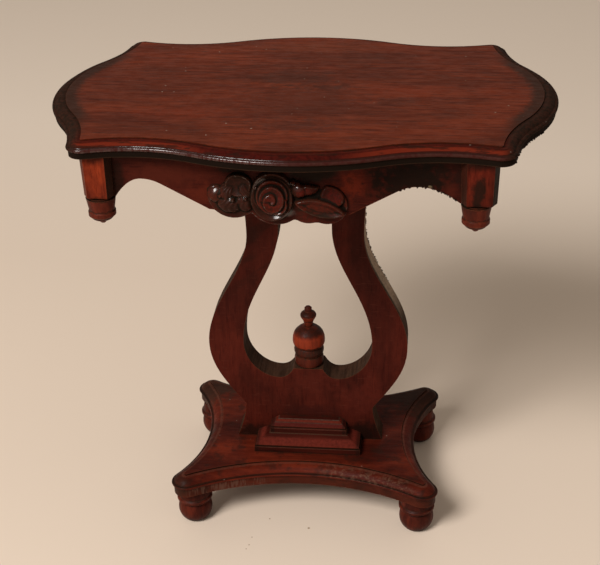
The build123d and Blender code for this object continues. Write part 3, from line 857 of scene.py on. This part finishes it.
def top_marks(tree, shader, place, colour, rough):
    x, y, z = axes(place)
    across = size_of(x)
    moulding = spread(z, field_level - 0.04, step_foot)
    not_at_ends = spread(across, *front_stops, 1.0, 0.0)
    at_front = times(spread(y, *front_fades_in), not_at_ends)
    fleck = noise(place, 2.2, 4.0, 0.7)

    # fine dark pores drawn out along the board
    pores = cloudy(stretched(place, (0.13, 1, 1)), 2.3, 3.0, 0.65, 0.52, 0.68)
    colour = tint(colour, (0.040, 0.0095, 0.0048), pores, 0.5)

    # the field darkens toward its rounded ends
    past_centre = maths("SUBTRACT", across, round_end_centre)
    end_reach = put(tree, "CombineXYZ", {"X": past_centre, "Y": y}).outputs[0]
    end_reach = vector_maths("LENGTH", end_reach)
    end_reach = maths("ADD", end_reach, spread(fleck, 0.2, 0.8, -0.5, 0.5))
    shaded = spread(end_reach, *round_end_shade)
    near_end = spread(across, *round_end_from)
    colour = tint(colour, (0.026, 0.0115, 0.0068), shaded, near_end, 0.85)

    # moulding: its own colours in front, olive with browner places at the ends and back
    bead = band(z, bead_foot + 0.05, bead_top, 0.06)
    fillet = spread(z, bead_foot + 0.02, bead_foot - 0.06)
    front = front_moulding(place, x, z, fleck, bead, fillet)
    browner = spread(fleck, 0.35, 0.65)
    olive = mixed(browner, (0.012, 0.0075, 0.0045), (0.036, 0.0125, 0.0075))
    # the same painted shade of the bead on the fillet at the ends
    olive = tint(olive, (0.0075, 0.0050, 0.0033), fillet, 0.8)
    colour = mixed(moulding, colour, mixed(at_front, olive, front))

    # the bead's wax shines to the left of the middle
    along_bead = stretched(place, (1.6, 1.6, 0.3))
    waxed = cloudy(along_bead, 2.0, 2.0, 0.5, 0.36, 0.56, 0.15, 1.0)
    gloss = times(bead, at_front, waxed, spread(x, *bead_gloss_from))
    feed(shader.inputs["Coat Weight"], gloss)
    shader.inputs["Coat Roughness"].default_value = 0.2
    dull = times(moulding, maths("SUBTRACT", 1.0, gloss), 0.3)
    return colour, maths("ADD", rough, dull, clamp=True)


print("members of the moulding at:", [round(z, 2) for z in (step_foot, bead_top, bead_foot)])

# %% Wood of the top
top_cloud = (0.048, 0.014, 0.0085)
top_glow = (0.185, 0.026, 0.008)
top_wood = stained_wood(
    "top_wood", grain_along_x, (0.092, 0.0168, 0.0068), (0.154, 0.0255, 0.0088),
    extra=top_marks,
    patches=(
        ((0, -4, 63.5), (14, 10, 3), (0.076, 0.0160, 0.0075), 0.65, 0.9, 0.5),
        ((-2, 4, 63.5), (9, 4.5, 3), top_cloud, 0.55, 0.9, 0.5),
        ((3.5, 0.5, 63.5), (4.5, 1.6, 3), top_cloud, 0.6, 0.9, 0.6),
        ((12.5, -4, 63.5), (5, 1.8, 3), top_cloud, 0.5, 0.9, 0.6),
        ((0, -13, 63.5), (9, 3.5, 3), top_cloud, 0.55, 0.9, 0.5),
        ((19, -9, 63.5), (6, 2, 3), top_cloud, 0.35, 0.9, 0.5),
        ((8, 12, 63.5), (10, 3, 3), top_cloud, 0.25, 0.9, 0.5),
        ((0, 17, 63.5), (14, 4, 3), (0.150, 0.034, 0.0145), 0.4, 0.9, 0.5),
        ((-15, -9, 63.5), (9, 3, 3), top_glow, 0.4, 0.9, 0.5),
        ((14, 0, 63.5), (8, 2.5, 3), top_glow, 0.35, 0.9, 0.5),
    ),
    dust=0.9, rough=0.45, shine=0.034, pores=0.6, edge=0.1, streaks=0.6, stretch=16.0,
)
print("made:", top_wood.name)

# %% [markdown]
# ### Aprons and posts
# The aprons go from orange-brown on the left to nearly black olive on the right, partly stain and
# partly painted shadow of the top's crown, and are painted darkest close under the top as its
# shadow. The left post is orange on its face, and its right chamfer, turned away from the light, is
# painted black as shade. On the right post a long dark patch lies between two red stiles.

# %% Aprons
# stain pooled in corners, partly painted shade: under the top, beside and on the posts, and over
# the right half of the front apron
pooled_stain_and_shade = (0.0065, 0.0033, 0.0019)
shade_above_carving = (0.010, 0.0060, 0.0036)
top_shadow_from = (60.3, 61.4)
face_turns_away = (0.75, 0.35)


def apron_marks(tree, shader, place, colour, rough):
    # painted shadow of the top, darkest close under it
    top_shadow = spread(axes(place)["Z"], *top_shadow_from)
    colour = tint(colour, (0.012, 0.0065, 0.004), top_shadow, 0.55)
    sawn = spread(size_of(facing(tree)["Y"]), *face_turns_away)
    return tint(colour, (0.026, 0.013, 0.008), sawn, 0.7), rough


apron_wood = stained_wood(
    "apron_wood", grain_along_x, (0.024, 0.0042, 0.0026), (0.062, 0.0085, 0.0045),
    extra=apron_marks,
    patches=(
        ((-15.5, -17.6, 58.6), (7.5, 3, 2.4), (0.066, 0.0105, 0.0052), 0.75, 0.8, 0.5),
        ((-10.5, -17.6, 56.2), (3.2, 3, 2.0), (0.085, 0.0125, 0.0055), 0.7, 0.8, 0.4),
        ((-21.4, -17.6, 57.5), (1.2, 3, 4.0), pooled_stain_and_shade, 0.7, 0.6, 0.3),
        ((7.8, -17.6, 58.0), (2.6, 3, 2.6), (0.150, 0.018, 0.0065), 0.75, 0.8, 0.6),
        ((14.6, -17.6, 58.6), (7.2, 3, 4.6), pooled_stain_and_shade, 0.92, 0.65, 0.6),
        ((19.6, -17.6, 57.2), (1.2, 3, 1.3), (0.060, 0.009, 0.0045), 0.7, 0.8, 0.6),
        ((20.8, -17.6, 59.4), (1.6, 3, 2.6), (0.018, 0.0048, 0.0032), 0.85, 0.8, 0.5),
        ((17.05, -17.6, 57.72), (0.34, 0.8, 0.24), (0.14, 0.105, 0.062), 0.85, 0.7, 0.5),
        ((-6.4, -17.6, 60.2), (3.6, 3, 1.5), shade_above_carving, 0.9, 0.6, 0.4),
        ((2.6, -17.6, 59.4), (4.2, 3, 1.9), shade_above_carving, 0.9, 0.6, 0.4),
    ),
    pores=0.55, mottle=0.5,
)
print("made:", apron_wood.name)


# %% Posts
def chamfers(left_tone, right_shade_tone):
    """Marks that stain a post's left chamfer and paint shade on its right chamfer, which faces away
    from the light.
    """

    def marks(tree, shader, place, colour, rough):
        side = facing(tree)["X"]
        colour = tint(colour, left_tone, spread(side, -0.25, -0.5), 0.75)
        # painted shade on the right chamfer, turned away from the light
        return tint(colour, right_shade_tone, spread(side, 0.25, 0.5), 0.92), rough

    return marks


shaded_chamfer = (0.010, 0.0062, 0.0038)
left_post_wood = stained_wood(
    "left_post_wood", grain_along_z, (0.105, 0.014, 0.0058), (0.25, 0.033, 0.0095),
    extra=chamfers((0.075, 0.0145, 0.0068), shaded_chamfer),
    patches=(
        ((-23.9, -19.2, 61.3), (2.5, 3, 1.1), pooled_stain_and_shade, 0.6, 0.8, 0.3),
        ((-23.9, -19.2, 55.6), (2.5, 3, 0.7), pooled_stain_and_shade, 0.55, 0.8, 0.3),
    ),
    clouds=2.5, mottle=0.5, pores=0.5,
)
right_post_wood = stained_wood(
    "right_post_wood", grain_along_z, (0.030, 0.0052, 0.0030), (0.105, 0.0125, 0.0056),
    extra=chamfers((0.020, 0.0080, 0.0048), shaded_chamfer),
    patches=(
        ((22.85, -19.2, 57.6), (1.15, 4, 2.9), (0.011, 0.0055, 0.0034), 0.88, 0.6, 0.5),
        ((23.0, -19.2, 61.4), (2.8, 3, 1.3), pooled_stain_and_shade, 0.8, 0.8, 0.3),
        ((23.0, -19.2, 55.5), (2.8, 3, 0.9), pooled_stain_and_shade, 0.6, 0.8, 0.3),
    ),
    clouds=2.5, mottle=0.5, pores=0.5, edge=0.1,
)
print("made:", left_post_wood.name, right_post_wood.name)

# %% [markdown]
# ### Turned parts
# A turner stains the work on the lathe, so colour runs round it in rings: dark in every groove and
# on the shoulders that face up, orange where a round is rubbed. Height gives the rings.

# %% Rings of stain
def rings(*bands):
    """Marks made of rings; each is (low, high, softness, tone, amount), heights in millimetres."""

    def marks(tree, shader, place, colour, rough):
        ragged = cloudy(place, 1.8, 3.0, 0.6, 0.25, 0.75, -0.12, 0.12)
        z = maths("ADD", axes(place)["Z"], ragged)
        upright = stretched(place, (1, 1, 0.2))
        grain = cloudy(upright, 1.6, 4.0, 0.7, 0.38, 0.6, 0.5, 1.0)
        for low, high, soft, tone, amount in bands:
            colour = tint(colour, tone, band(z, low, high, soft), grain, amount)
        return colour, rough

    return marks


ring_dark = (0.012, 0.007, 0.0045)
turned_look = {"clouds": 2.5, "corner": 0.95, "corner_reach": 0.5 * mm, "shine": 0.07}
print("rings ready")

# %% Drops, finial and feet
drop_wood = stained_wood(
    "drop_wood", grain_along_z, (0.042, 0.0085, 0.005), (0.105, 0.016, 0.0075),
    extra=rings(
        (55.4, 55.6, 0.1, ring_dark, 0.9), (53.68, 53.82, 0.08, ring_dark, 0.85),
        (52.7, 52.95, 0.12, ring_dark, 0.8), (51.8, 52.4, 0.15, (0.085, 0.015, 0.008), 0.7),
    ),
    **turned_look,
)
finial_wood = stained_wood(
    "finial_wood", grain_along_z, (0.060, 0.0095, 0.0045), (0.125, 0.017, 0.007),
    extra=rings(
        (20.6, 20.95, 0.15, ring_dark, 0.7),
        (21.1, 22.1, 0.15, (0.040, 0.0095, 0.006), 0.55),
        (24.5, 25.6, 0.75, (0.22, 0.029, 0.0105), 0.88),
        (22.3, 24.2, 0.15, (0.022, 0.011, 0.0075), 0.88),
        (26.5, 27.1, 0.8, (0.022, 0.008, 0.005), 0.8),
        (27.1, 27.8, 0.1, (0.11, 0.018, 0.008), 0.8), (27.9, 28.05, 0.06, ring_dark, 0.9),
        (28.1, 28.7, 0.2, (0.15, 0.023, 0.009), 0.9),
        (29.0, 29.5, 0.3, (0.022, 0.009, 0.006), 0.85),
        (29.6, 30.6, 0.1, (0.030, 0.007, 0.005), 0.8),
    ),
    **turned_look,
)
foot_wood = stained_wood(
    "foot_wood", grain_along_z, (0.040, 0.0072, 0.0045), (0.105, 0.016, 0.0075),
    extra=rings(
        (3.2, 3.45, 0.1, ring_dark, 0.85), (4.15, 4.35, 0.08, ring_dark, 0.7),
        (0.0, 0.5, 0.4, ring_dark, 0.5),
    ),
    patches=(((18.0, -13.5, 2.0), (3.0, 3.0, 3.5), (0.026, 0.008, 0.005), 0.4, 0.8, 0.5),),
    **turned_look,
)
print("made:", drop_wood.name, finial_wood.name, foot_wood.name)

# %% [markdown]
# ### The lyre
# It is sawn from one flat board, so the faces are smooth and stained while the sawn edges soaked up
# more and gathered dust: dull olive, with fine marks from the saw across them.

# %% Lyre
pale_strip = (0.44, 0.325, 0.235)
strip_depth, strip_heights, strip_fade = (-1.6, -0.7), (34.0, 46.0), 6.0
right_arm_from = (0.0, 6.0)
band_slope = math.radians(35)
arms_from, stronger_left = (30.0, 38.0), (8.0, -6.0)


def lyre_marks(tree, shader, place, colour, rough):
    out = facing(tree)
    x, y, z = axes(place)

    # sawn edge: olive with saw marks, and a strip of bare wood at the back of the right arm
    sawn = spread(size_of(out["Y"]), 0.8, 0.4)
    saw = cloudy(stretched(place, (0.8, 0.15, 3.0)), 1.3, 4.0, 0.7, 0.3, 0.7)
    edge = mixed(saw, (0.022, 0.0105, 0.0055), (0.058, 0.028, 0.0155))
    bare = times(spread(y, *strip_depth), spread(out["X"], 0.35, 0.7))
    bare = times(bare, band(z, *strip_heights, strip_fade), spread(x, *right_arm_from))
    patchy = cloudy(place, 2.2, 4.0, 0.7, 0.25, 0.6, 0.35, 0.92)
    edge = tint(edge, pale_strip, bare, patchy)

    # face: darker bands that slant over the arms, then the edge, then light scratches
    tilting = {"Vector": place, "Rotation": (0, band_slope, 0)}
    tilted = stretched(put(tree, "Mapping", tilting).outputs[0], (0.2, 1.0, 1.0))
    bands = cloudy(tilted, 0.55, 3.0, 0.5, 0.45, 0.62)
    upper = times(spread(z, *arms_from), spread(x, *stronger_left, 0.3, 1.0))
    colour = tint(colour, (0.026, 0.0065, 0.004), bands, upper, 0.6)
    colour = tint(colour, edge, sawn, 0.92)
    scratch = cloudy(stretched(place, (0.15, 1.0, 1.6)), 3.0, 3.0, 0.6, 0.6, 0.72)
    colour = tint(colour, (0.12, 0.035, 0.022), scratch, 0.25)
    return colour, maths("ADD", rough, times(sawn, 0.25), clamp=True)


lyre_wood = stained_wood(
    "lyre_wood", grain_along_z, (0.040, 0.0066, 0.004), (0.076, 0.011, 0.006),
    extra=lyre_marks,
    patches=(
        ((0, -1.9, 18.5), (5, 2, 3), (0.085, 0.013, 0.0075), 0.5, 0.9, 0.5),
        ((8, -1.9, 15.5), (5, 2, 4), (0.098, 0.0145, 0.0085), 0.45, 0.9, 0.5),
        ((0, -1.9, 13.2), (7, 2, 1.6), (0.030, 0.0055, 0.004), 0.7, 0.8, 0.4),
        ((8.6, -1.9, 9.6), (3.6, 3, 2.8), (0.011, 0.0045, 0.003), 0.9, 0.7, 0.4),
        ((-8.6, -1.9, 9.0), (3.2, 3, 2.2), (0.014, 0.0050, 0.0032), 0.85, 0.7, 0.4),
        ((-6.5, -1.9, 40), (4, 2, 8), (0.075, 0.0125, 0.0070), 0.35, 0.9, 0.5),
        ((-7.4, -1.9, 43), (1.5, 2, 3), (0.020, 0.005, 0.003), 0.6, 0.8, 0.5),
        ((8, -1.9, 50), (3, 2, 7), (0.024, 0.006, 0.004), 0.5, 0.8, 0.5),
    ),
    pores=0.45, streaks=0.3, mottle=0.45, edge=0.2,
)
print("made:", lyre_wood.name)

# %% [markdown]
# ### Base and plinth blocks
# The base is orange-red on top and olive toward its back lobes. Handling has rubbed the front
# moulding pale, in a patch of small flecks, and the saw left upright marks on the front fillet.
# On the blocks, dark lines of painted shade lie in the quirks and at the foot, the ends are painted
# dark as shade, and thin lines of dust and painted highlight run on the arrises.

# %% Base
base_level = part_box("base")[1].z / mm
front_of_base = (-7.0, -9.0)
saw_marks_between, saw_marks_fade = (-15.5, -7.0), 2.0
rub_between, rub_fade = (4.0, 14.5), 2.5
rub_heights = (7.35, 8.15)


def base_marks(tree, shader, place, colour, rough):
    x, y, z = axes(place)
    blotch = cloudy(place, 0.5, 4.0, 0.6, 0.52, 0.66)
    broken = spread(noise(place, 2.6, 5.0, 0.75), 0.3, 0.6)
    # the dark quirk and step lines are painted shade in the grooves; the thin pale head line is a
    # painted highlight on the ledge
    quirk_shadow_line = band(z, base_level - 1.18, base_level - 1.08, 0.06)
    step_shadow_line = band(z, base_level - 0.2, base_level - 0.03, 0.03)
    head_highlight_line = band(z, base_level - 0.27, base_level - 0.24, 0.03)
    fillet = spread(z, base_level - 1.5, base_level - 1.62)
    front = spread(y, *front_of_base)
    saw = cloudy(stretched(place, (4.0, 0.2, 0.4)), 1.0, 2.0, 0.5, 0.45, 0.6)
    left = band(x, *saw_marks_between, saw_marks_fade)
    rub = times(front, band(x, *rub_between, rub_fade), band(z, *rub_heights, 0.2))
    rub_flecks = cloudy(place, 1.5, 5.0, 0.75, 0.47, 0.62)
    for tone, *masks in (
        ((0.022, 0.008, 0.005), blotch, 0.6),
        ((0.010, 0.006, 0.004), quirk_shadow_line, 0.8),
        ((0.008, 0.005, 0.0035), step_shadow_line, 0.9),
        ((0.13, 0.045, 0.028), head_highlight_line, broken, 0.5),
        ((0.028, 0.013, 0.008), fillet, 0.42),
        ((0.12, 0.060, 0.042), saw, fillet, front, left, 0.6),
        ((0.16, 0.080, 0.048), rub, rub_flecks, 0.42),
    ):
        colour = tint(colour, tone, *masks)
    return colour, rough


base_olive = (0.030, 0.015, 0.009)
base_wood = stained_wood(
    "base_wood", grain_along_x, (0.042, 0.0066, 0.0038), (0.115, 0.0155, 0.0065),
    extra=base_marks,
    patches=(
        ((-16.5, 11, 7.5), (6.0, 6, 3), base_olive, 0.75, 0.6, 0.4),
        ((16, 10, 7.5), (6.5, 7, 3), base_olive, 0.75, 0.6, 0.4),
        ((-18.5, -13.5, 7.0), (2.5, 2.5, 3), base_olive, 0.5, 0.8, 0.5),
        ((18.6, -13.5, 7.0), (2.0, 2.0, 3), base_olive, 0.15, 0.8, 0.5),
        ((-13, -6, 8.5), (3, 3, 1), (0.17, 0.022, 0.0075), 0.6, 0.9, 0.5),
        ((15.5, -7.5, 8.5), (3, 4, 1), (0.15, 0.020, 0.0075), 0.42, 0.9, 0.5),
        ((0, -8.6, 8.5), (12, 1.2, 1), (0.14, 0.020, 0.0085), 0.6, 0.8, 0.4),
    ),
    mottle=0.5, dust=0.4, edge=0.2,
)
print("made:", base_wood.name)

# %% Plinth blocks
crevice_shade = (0.010, 0.005, 0.0035)
dust_and_highlight_line = (0.095, 0.042, 0.030)
end_shade_tone = (0.012, 0.0055, 0.0038)
block_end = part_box("front_plinth_block")[1].x / mm
lower_end, end_amount = (block_end - 0.9, block_end - 0.35), 0.85
upper_end, upper_step = (block_end - 2.6, block_end - 1.9), (2.0, 2.2)
# dark bands in the quirks and at the foot are painted shade; the thin pale bands on the arrises are
# dust with a painted highlight
block_bands = (
    (-0.1, 0.10, 0.05, crevice_shade, 1.0),
    (0.80, 0.87, 0.04, dust_and_highlight_line, 0.6),
    (0.91, 1.04, 0.04, crevice_shade, 1.0),
    (1.25, 1.60, 0.25, (0.135, 0.0205, 0.0130), 0.95),
    (2.00, 2.05, 0.04, (0.060, 0.036, 0.022), 0.7),
    (2.10, 2.70, 0.08, (0.028, 0.0055, 0.0035), 0.8),
    (2.76, 2.83, 0.04, dust_and_highlight_line, 0.6),
    (3.15, 3.38, 0.1, (0.085, 0.0115, 0.0080), 0.9),
    (3.46, 3.51, 0.04, dust_and_highlight_line, 0.6),
    (3.57, 3.72, 0.06, (0.130, 0.0185, 0.0090), 0.9),
    (3.78, 3.82, 0.03, (0.085, 0.058, 0.042), 0.7),
)


def block_marks(tree, shader, place, colour, rough):
    x, _, z = axes(place)
    fleck = cloudy(place, 2.4, 4.0, 0.7, 0.25, 0.7, 0.4, 1.0)
    z = maths("SUBTRACT", z, base_level)
    for low, high, soft, tone, amount in block_bands:
        colour = tint(colour, tone, band(z, low, high, soft), fleck, amount)
    # painted shade on the block's ends
    side = size_of(x)
    lower = times(spread(side, *lower_end), end_amount)
    upper = times(band(side, *upper_end, 0.3), end_amount, spread(z, *upper_step))
    return tint(colour, end_shade_tone, maths("MAXIMUM", lower, upper), fleck), rough


block_wood = stained_wood(
    "block_wood", grain_along_x, (0.026, 0.005, 0.0033), (0.060, 0.009, 0.0052),
    extra=block_marks, edge=0.15,
)
print("made:", block_wood.name, "ends at", round(block_end, 2))

# %% [markdown]
# ### The carving
# Dark polish fills the hollows, which are also painted darker as painted shade, and the petals are
# rubbed red and orange on their rounds. Two values were stored on the mesh while it was carved: how
# deep a point lies, and how high it stands.

# %% Marks on the carving
carving_depth, spot_depth, spot_softness, spot_raggedness = -18.5, 5, 0.5, 0.3
rim_reach, rim_fade = (2.3, 3.0), 0.2
glossy_spots = (
    (-0.9, 54.1, 1.7, 0.7), (-3.9, 58.4, 1.2, 0.6), (1.1, 57.7, 0.8, 0.6), (0.3, 58.2, 0.5, 0.5),
    (-9.0, 56.9, 0.45, 0.4), (-7.2, 56.0, 0.3, 0.3), (-5.5, 56.3, 0.3, 0.3), (-4.2, 57.6, 0.4, 0.5),
)


def carving_marks(tree, shader, place, colour, rough):
    hollow = put(tree, "Attribute", attribute_name="hollow").outputs["Fac"]
    crest = put(tree, "Attribute", attribute_name="crest").outputs["Fac"]
    fleck = noise(place, 3.0, 4.0, 0.7)
    colour = tint(colour, (0.020, 0.0085, 0.005), spread(fleck, 0.35, 0.62), 0.55)
    colour = tint(colour, (0.075, 0.026, 0.013), spread(crest, 0.4, 1.0), 0.3)
    # hollows: dark polish with painted shade over it
    sunk = spread(maths("ADD", hollow, times(fleck, 0.4)), 0.16, 0.62)
    colour = tint(colour, (0.009, 0.0065, 0.004), sunk, 0.94)
    heart = (rose_heart[0], 0, rose_heart[1])
    from_rose = stretched(vector_maths("SUBTRACT", place, heart), (1, 0, 1))
    rim = band(vector_maths("LENGTH", from_rose), *rim_reach, rim_fade)
    colour = tint(colour, (0.026, 0.0105, 0.0062), rim, 0.7)

    gloss = times(spread(crest, 0.3, 0.8), spread(fleck, 0.5, 0.64))
    for spot_x, spot_z, reach_x, reach_z in glossy_spots:
        centre, reach = (spot_x, carving_depth, spot_z), (reach_x, spot_depth, reach_z)
        spot = patch_mask(place, centre, reach, spot_softness, spot_raggedness)
        gloss = maths("MAXIMUM", gloss, spot)
    feed(shader.inputs["Coat Weight"], gloss)
    shader.inputs["Coat Roughness"].default_value = 0.18
    return colour, maths("ADD", rough, times(sunk, 0.3), clamp=True)


print("glossy spots on the carving:", len(glossy_spots))

# %% Wood of the carving
leaf_shade = (0.014, 0.0085, 0.0050)
carved_wood = stained_wood(
    "carved_wood", grain_along_x, (0.038, 0.0055, 0.0035), (0.085, 0.0105, 0.0055),
    extra=carving_marks,
    patches=(
        ((-7.2, -18.5, 56.5), (3.6, 4, 3.6), (0.030, 0.0115, 0.0075), 0.7, 0.4, 0.5),
        ((-9.2, -18.5, 56.2), (1.6, 4, 1.6), (0.085, 0.017, 0.009), 0.6, 0.8, 0.5),
        ((-1.9, -18.5, 56.9), (1.7, 4, 1.7), (0.085, 0.0100, 0.0065), 0.75, 0.7, 0.3),
        ((-1.2, -18.5, 54.8), (1.7, 4, 0.9), (0.105, 0.0125, 0.0070), 0.7, 0.7, 0.3),
        ((3.2, -18.5, 55.0), (3.0, 4, 1.3), (0.085, 0.0115, 0.0055), 0.8, 0.6, 0.3),
        ((1.8, -18.5, 57.0), (1.5, 4, 0.8), (0.110, 0.012, 0.008), 0.7, 0.8, 0.3),
        ((5.4, -18.5, 56.4), (1.3, 4, 1.4), (0.085, 0.009, 0.006), 0.8, 0.6, 0.3),
        ((1.9, -18.5, 54.55), (1.5, 4, 0.36), leaf_shade, 0.9, 0.6, 0.3),
        ((3.7, -18.5, 54.12), (1.6, 4, 0.40), leaf_shade, 0.9, 0.6, 0.3),
        ((5.3, -18.5, 53.85), (1.2, 4, 0.36), leaf_shade, 0.9, 0.6, 0.3),
        ((-5.9, -18.2, 59.3), (2.6, 4, 0.9), shade_above_carving, 0.7, 0.6, 0.4),
    ),
    clouds=2.5, corner=0.9, corner_reach=0.5 * mm, rough=0.36, shine=0.05, edge=0.0,
)
print("made:", carved_wood.name)

# %% [markdown]
# ### Torn fibres
# Where a saw leaves the cut it tears the last fibres, and they show as dark specks along an edge.
# They could be placed by hand. A Geometry Nodes tree that follows the cut's path does it by rule.
# The path comes first: the points of three sawn edges, read from the solid model and joined in
# order into wires.

# %% Paths of the torn edges
def edge_path(node, keep, order):
    """Points of a node's mesh that keep accepts, in millimetres, sorted along one axis."""
    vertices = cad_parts[node].data.vertices
    spots = {tuple(round(value / mm, 3) for value in vertex.co) for vertex in vertices}
    return sorted(filter(lambda spot: keep(*spot), spots), key=lambda spot: spot[order])


along_x, along_y, along_z = range(3)
torn_paths = (
    edge_path("front_apron", lambda x, y, z: y < -17.6 and 13 < x < 20.3 and z < 60, along_x),
    edge_path("lyre", lambda x, y, z: y > 1.9 and x > 8 and 33.5 < z < 51, along_z),
    edge_path("tabletop", lambda x, y, z: z < 61.51 and x > 26.9 and -18.5 < y < -8, along_y),
)
wires = bmesh.new()
for path in torn_paths:
    ends = [wires.verts.new(Vector(spot) * mm) for spot in path]
    for first, second in zip(ends, ends[1:]):
        wires.edges.new((first, second))
fibre_mesh = bpy.data.meshes.new("torn_fibres")
wires.to_mesh(fibre_mesh)
wires.free()
torn_fibres = bpy.data.objects.new("torn_fibres", fibre_mesh)
scene.collection.objects.link(torn_fibres)
print("points on the torn edges:", [len(path) for path in torn_paths])

# %% [markdown]
# The tree spaces points along each wire, puts a small closed cone at a random part of them, each
# turned and sized at random, and makes the copies real.

# %% Tree that tears the fibres
fibre_sides = 5
fibre_smallest, fibre_largest = 0.5, 1.4
turn_seed, size_seed = 5, 9
fibre_inputs = {
    "Geometry": "Geometry", "Spacing": "Float", "Chance": "Float", "Radius": "Float",
    "Length": "Float", "Seed": "Int", "Material": "Material",
}


def fibre_tree():
    """Geometry Nodes: small cones scattered along the edges of a wire."""
    tree = bpy.data.node_groups.new("fibres_on_path", "GeometryNodeTree")
    for title, kind in fibre_inputs.items():
        tree.interface.new_socket(title, in_out="INPUT", socket_type="NodeSocket" + kind)
    tree.interface.new_socket("Geometry", in_out="OUTPUT", socket_type="NodeSocketGeometry")
    given = tree.nodes.new("NodeGroupInput").outputs
    result = tree.nodes.new("NodeGroupOutput").inputs

    def step(kind, feeds, output=0, **settings):
        return add(tree, "GeometryNode" + kind, feeds, **settings).outputs[output]

    def by_chance(kind, feeds, output=0):
        return add(tree, "FunctionNodeRandomValue", feeds, data_type=kind).outputs[output]

    curve = step("MeshToCurve", {"Mesh": given["Geometry"]})
    spacing = {"Curve": curve, "Length": given["Spacing"]}
    points = step("ResampleCurve", spacing, mode="LENGTH")
    shape = {"Vertices": fibre_sides, "Radius Bottom": given["Radius"], "Depth": given["Length"]}
    cone = step("MeshCone", shape, "Mesh", fill_type="NGON")
    picked = by_chance("BOOLEAN", {"Probability": given["Chance"], "Seed": given["Seed"]}, 3)
    whole_turn = (math.tau,) * 3
    turns = by_chance("FLOAT_VECTOR", {0: (0, 0, 0), 1: whole_turn, "Seed": turn_seed})
    smallest, largest = (fibre_smallest,) * 3, (fibre_largest,) * 3
    sizes = by_chance("FLOAT_VECTOR", {0: smallest, 1: largest, "Seed": size_seed})
    placed = step("InstanceOnPoints", {
        "Points": points, "Selection": picked, "Instance": cone, "Rotation": turns, "Scale": sizes,
    })
    solid = step("RealizeInstances", {"Geometry": placed})
    stained = step("SetMaterial", {"Geometry": solid, "Material": given["Material"]})
    feed(result["Geometry"], stained)
    return tree


tearing = fibre_tree()
print("nodes in the tree:", len(tearing.nodes))

# %% Fibres along the paths
fibre_wood = stained_wood(
    "fibre_wood", grain_along_z, (0.010, 0.0045, 0.003), (0.020, 0.007, 0.0045), edge=0,
)
fibre_values = {
    "Spacing": 0.2 * mm, "Chance": 0.6, "Radius": 0.15 * mm, "Length": 0.2 * mm,
    "Seed": 3, "Material": fibre_wood,
}
maker = torn_fibres.modifiers.new("fibres", "NODES")
maker.node_group = tearing
for socket in tearing.interface.items_tree:
    if socket.in_out == "INPUT" and socket.name in fibre_values:
        maker[socket.identifier] = fibre_values[socket.name]
seen = torn_fibres.evaluated_get(bpy.context.evaluated_depsgraph_get())
made_mesh = bpy.data.meshes.new_from_object(seen)
torn_fibres.modifiers.remove(maker)
torn_fibres.data = made_mesh
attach(torn_fibres, "root")
print("faces of fibres:", len(torn_fibres.data.polygons))

# %% [markdown]
# ## Dressing the table
# Each node of the solid model gets the wood made for it. The list is read from the top, and the
# first ending that fits the node's name wins, so the plain apron wood comes last. The carved
# sprays take the place of the two plain carvings.

# %% Give every node and piece its wood
def dress(thing, material):
    """Puts the material in the object's only slot."""
    if thing.material_slots:
        thing.material_slots[0].material = material
    else:
        thing.data.materials.append(material)


woods = (
    ("tabletop", top_wood),
    ("lyre_finial", finial_wood),
    ("lyre", lyre_wood),
    ("right_post", right_post_wood),
    ("left_post", left_post_wood),
    ("_drop", drop_wood),
    ("_foot", foot_wood),
    ("_plinth_block", block_wood),
    ("base", base_wood),
    ("", apron_wood),
)
for name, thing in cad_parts.items():
    dress(thing, next(wood for ending, wood in woods if name.endswith(ending)))
for spray in (front_spray, back_spray):
    dress(spray, carved_wood)
print("dressed:", len(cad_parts))

# %% [markdown]
# ## Size
# The box of the dressed table is measured and printed in millimetres. The dressed table has to
# stay inside the solid one.

# %% Size of the dressed model
low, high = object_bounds()
print("box in mm:", [round((b - a) / mm, 2) for a, b in zip(low, high)])
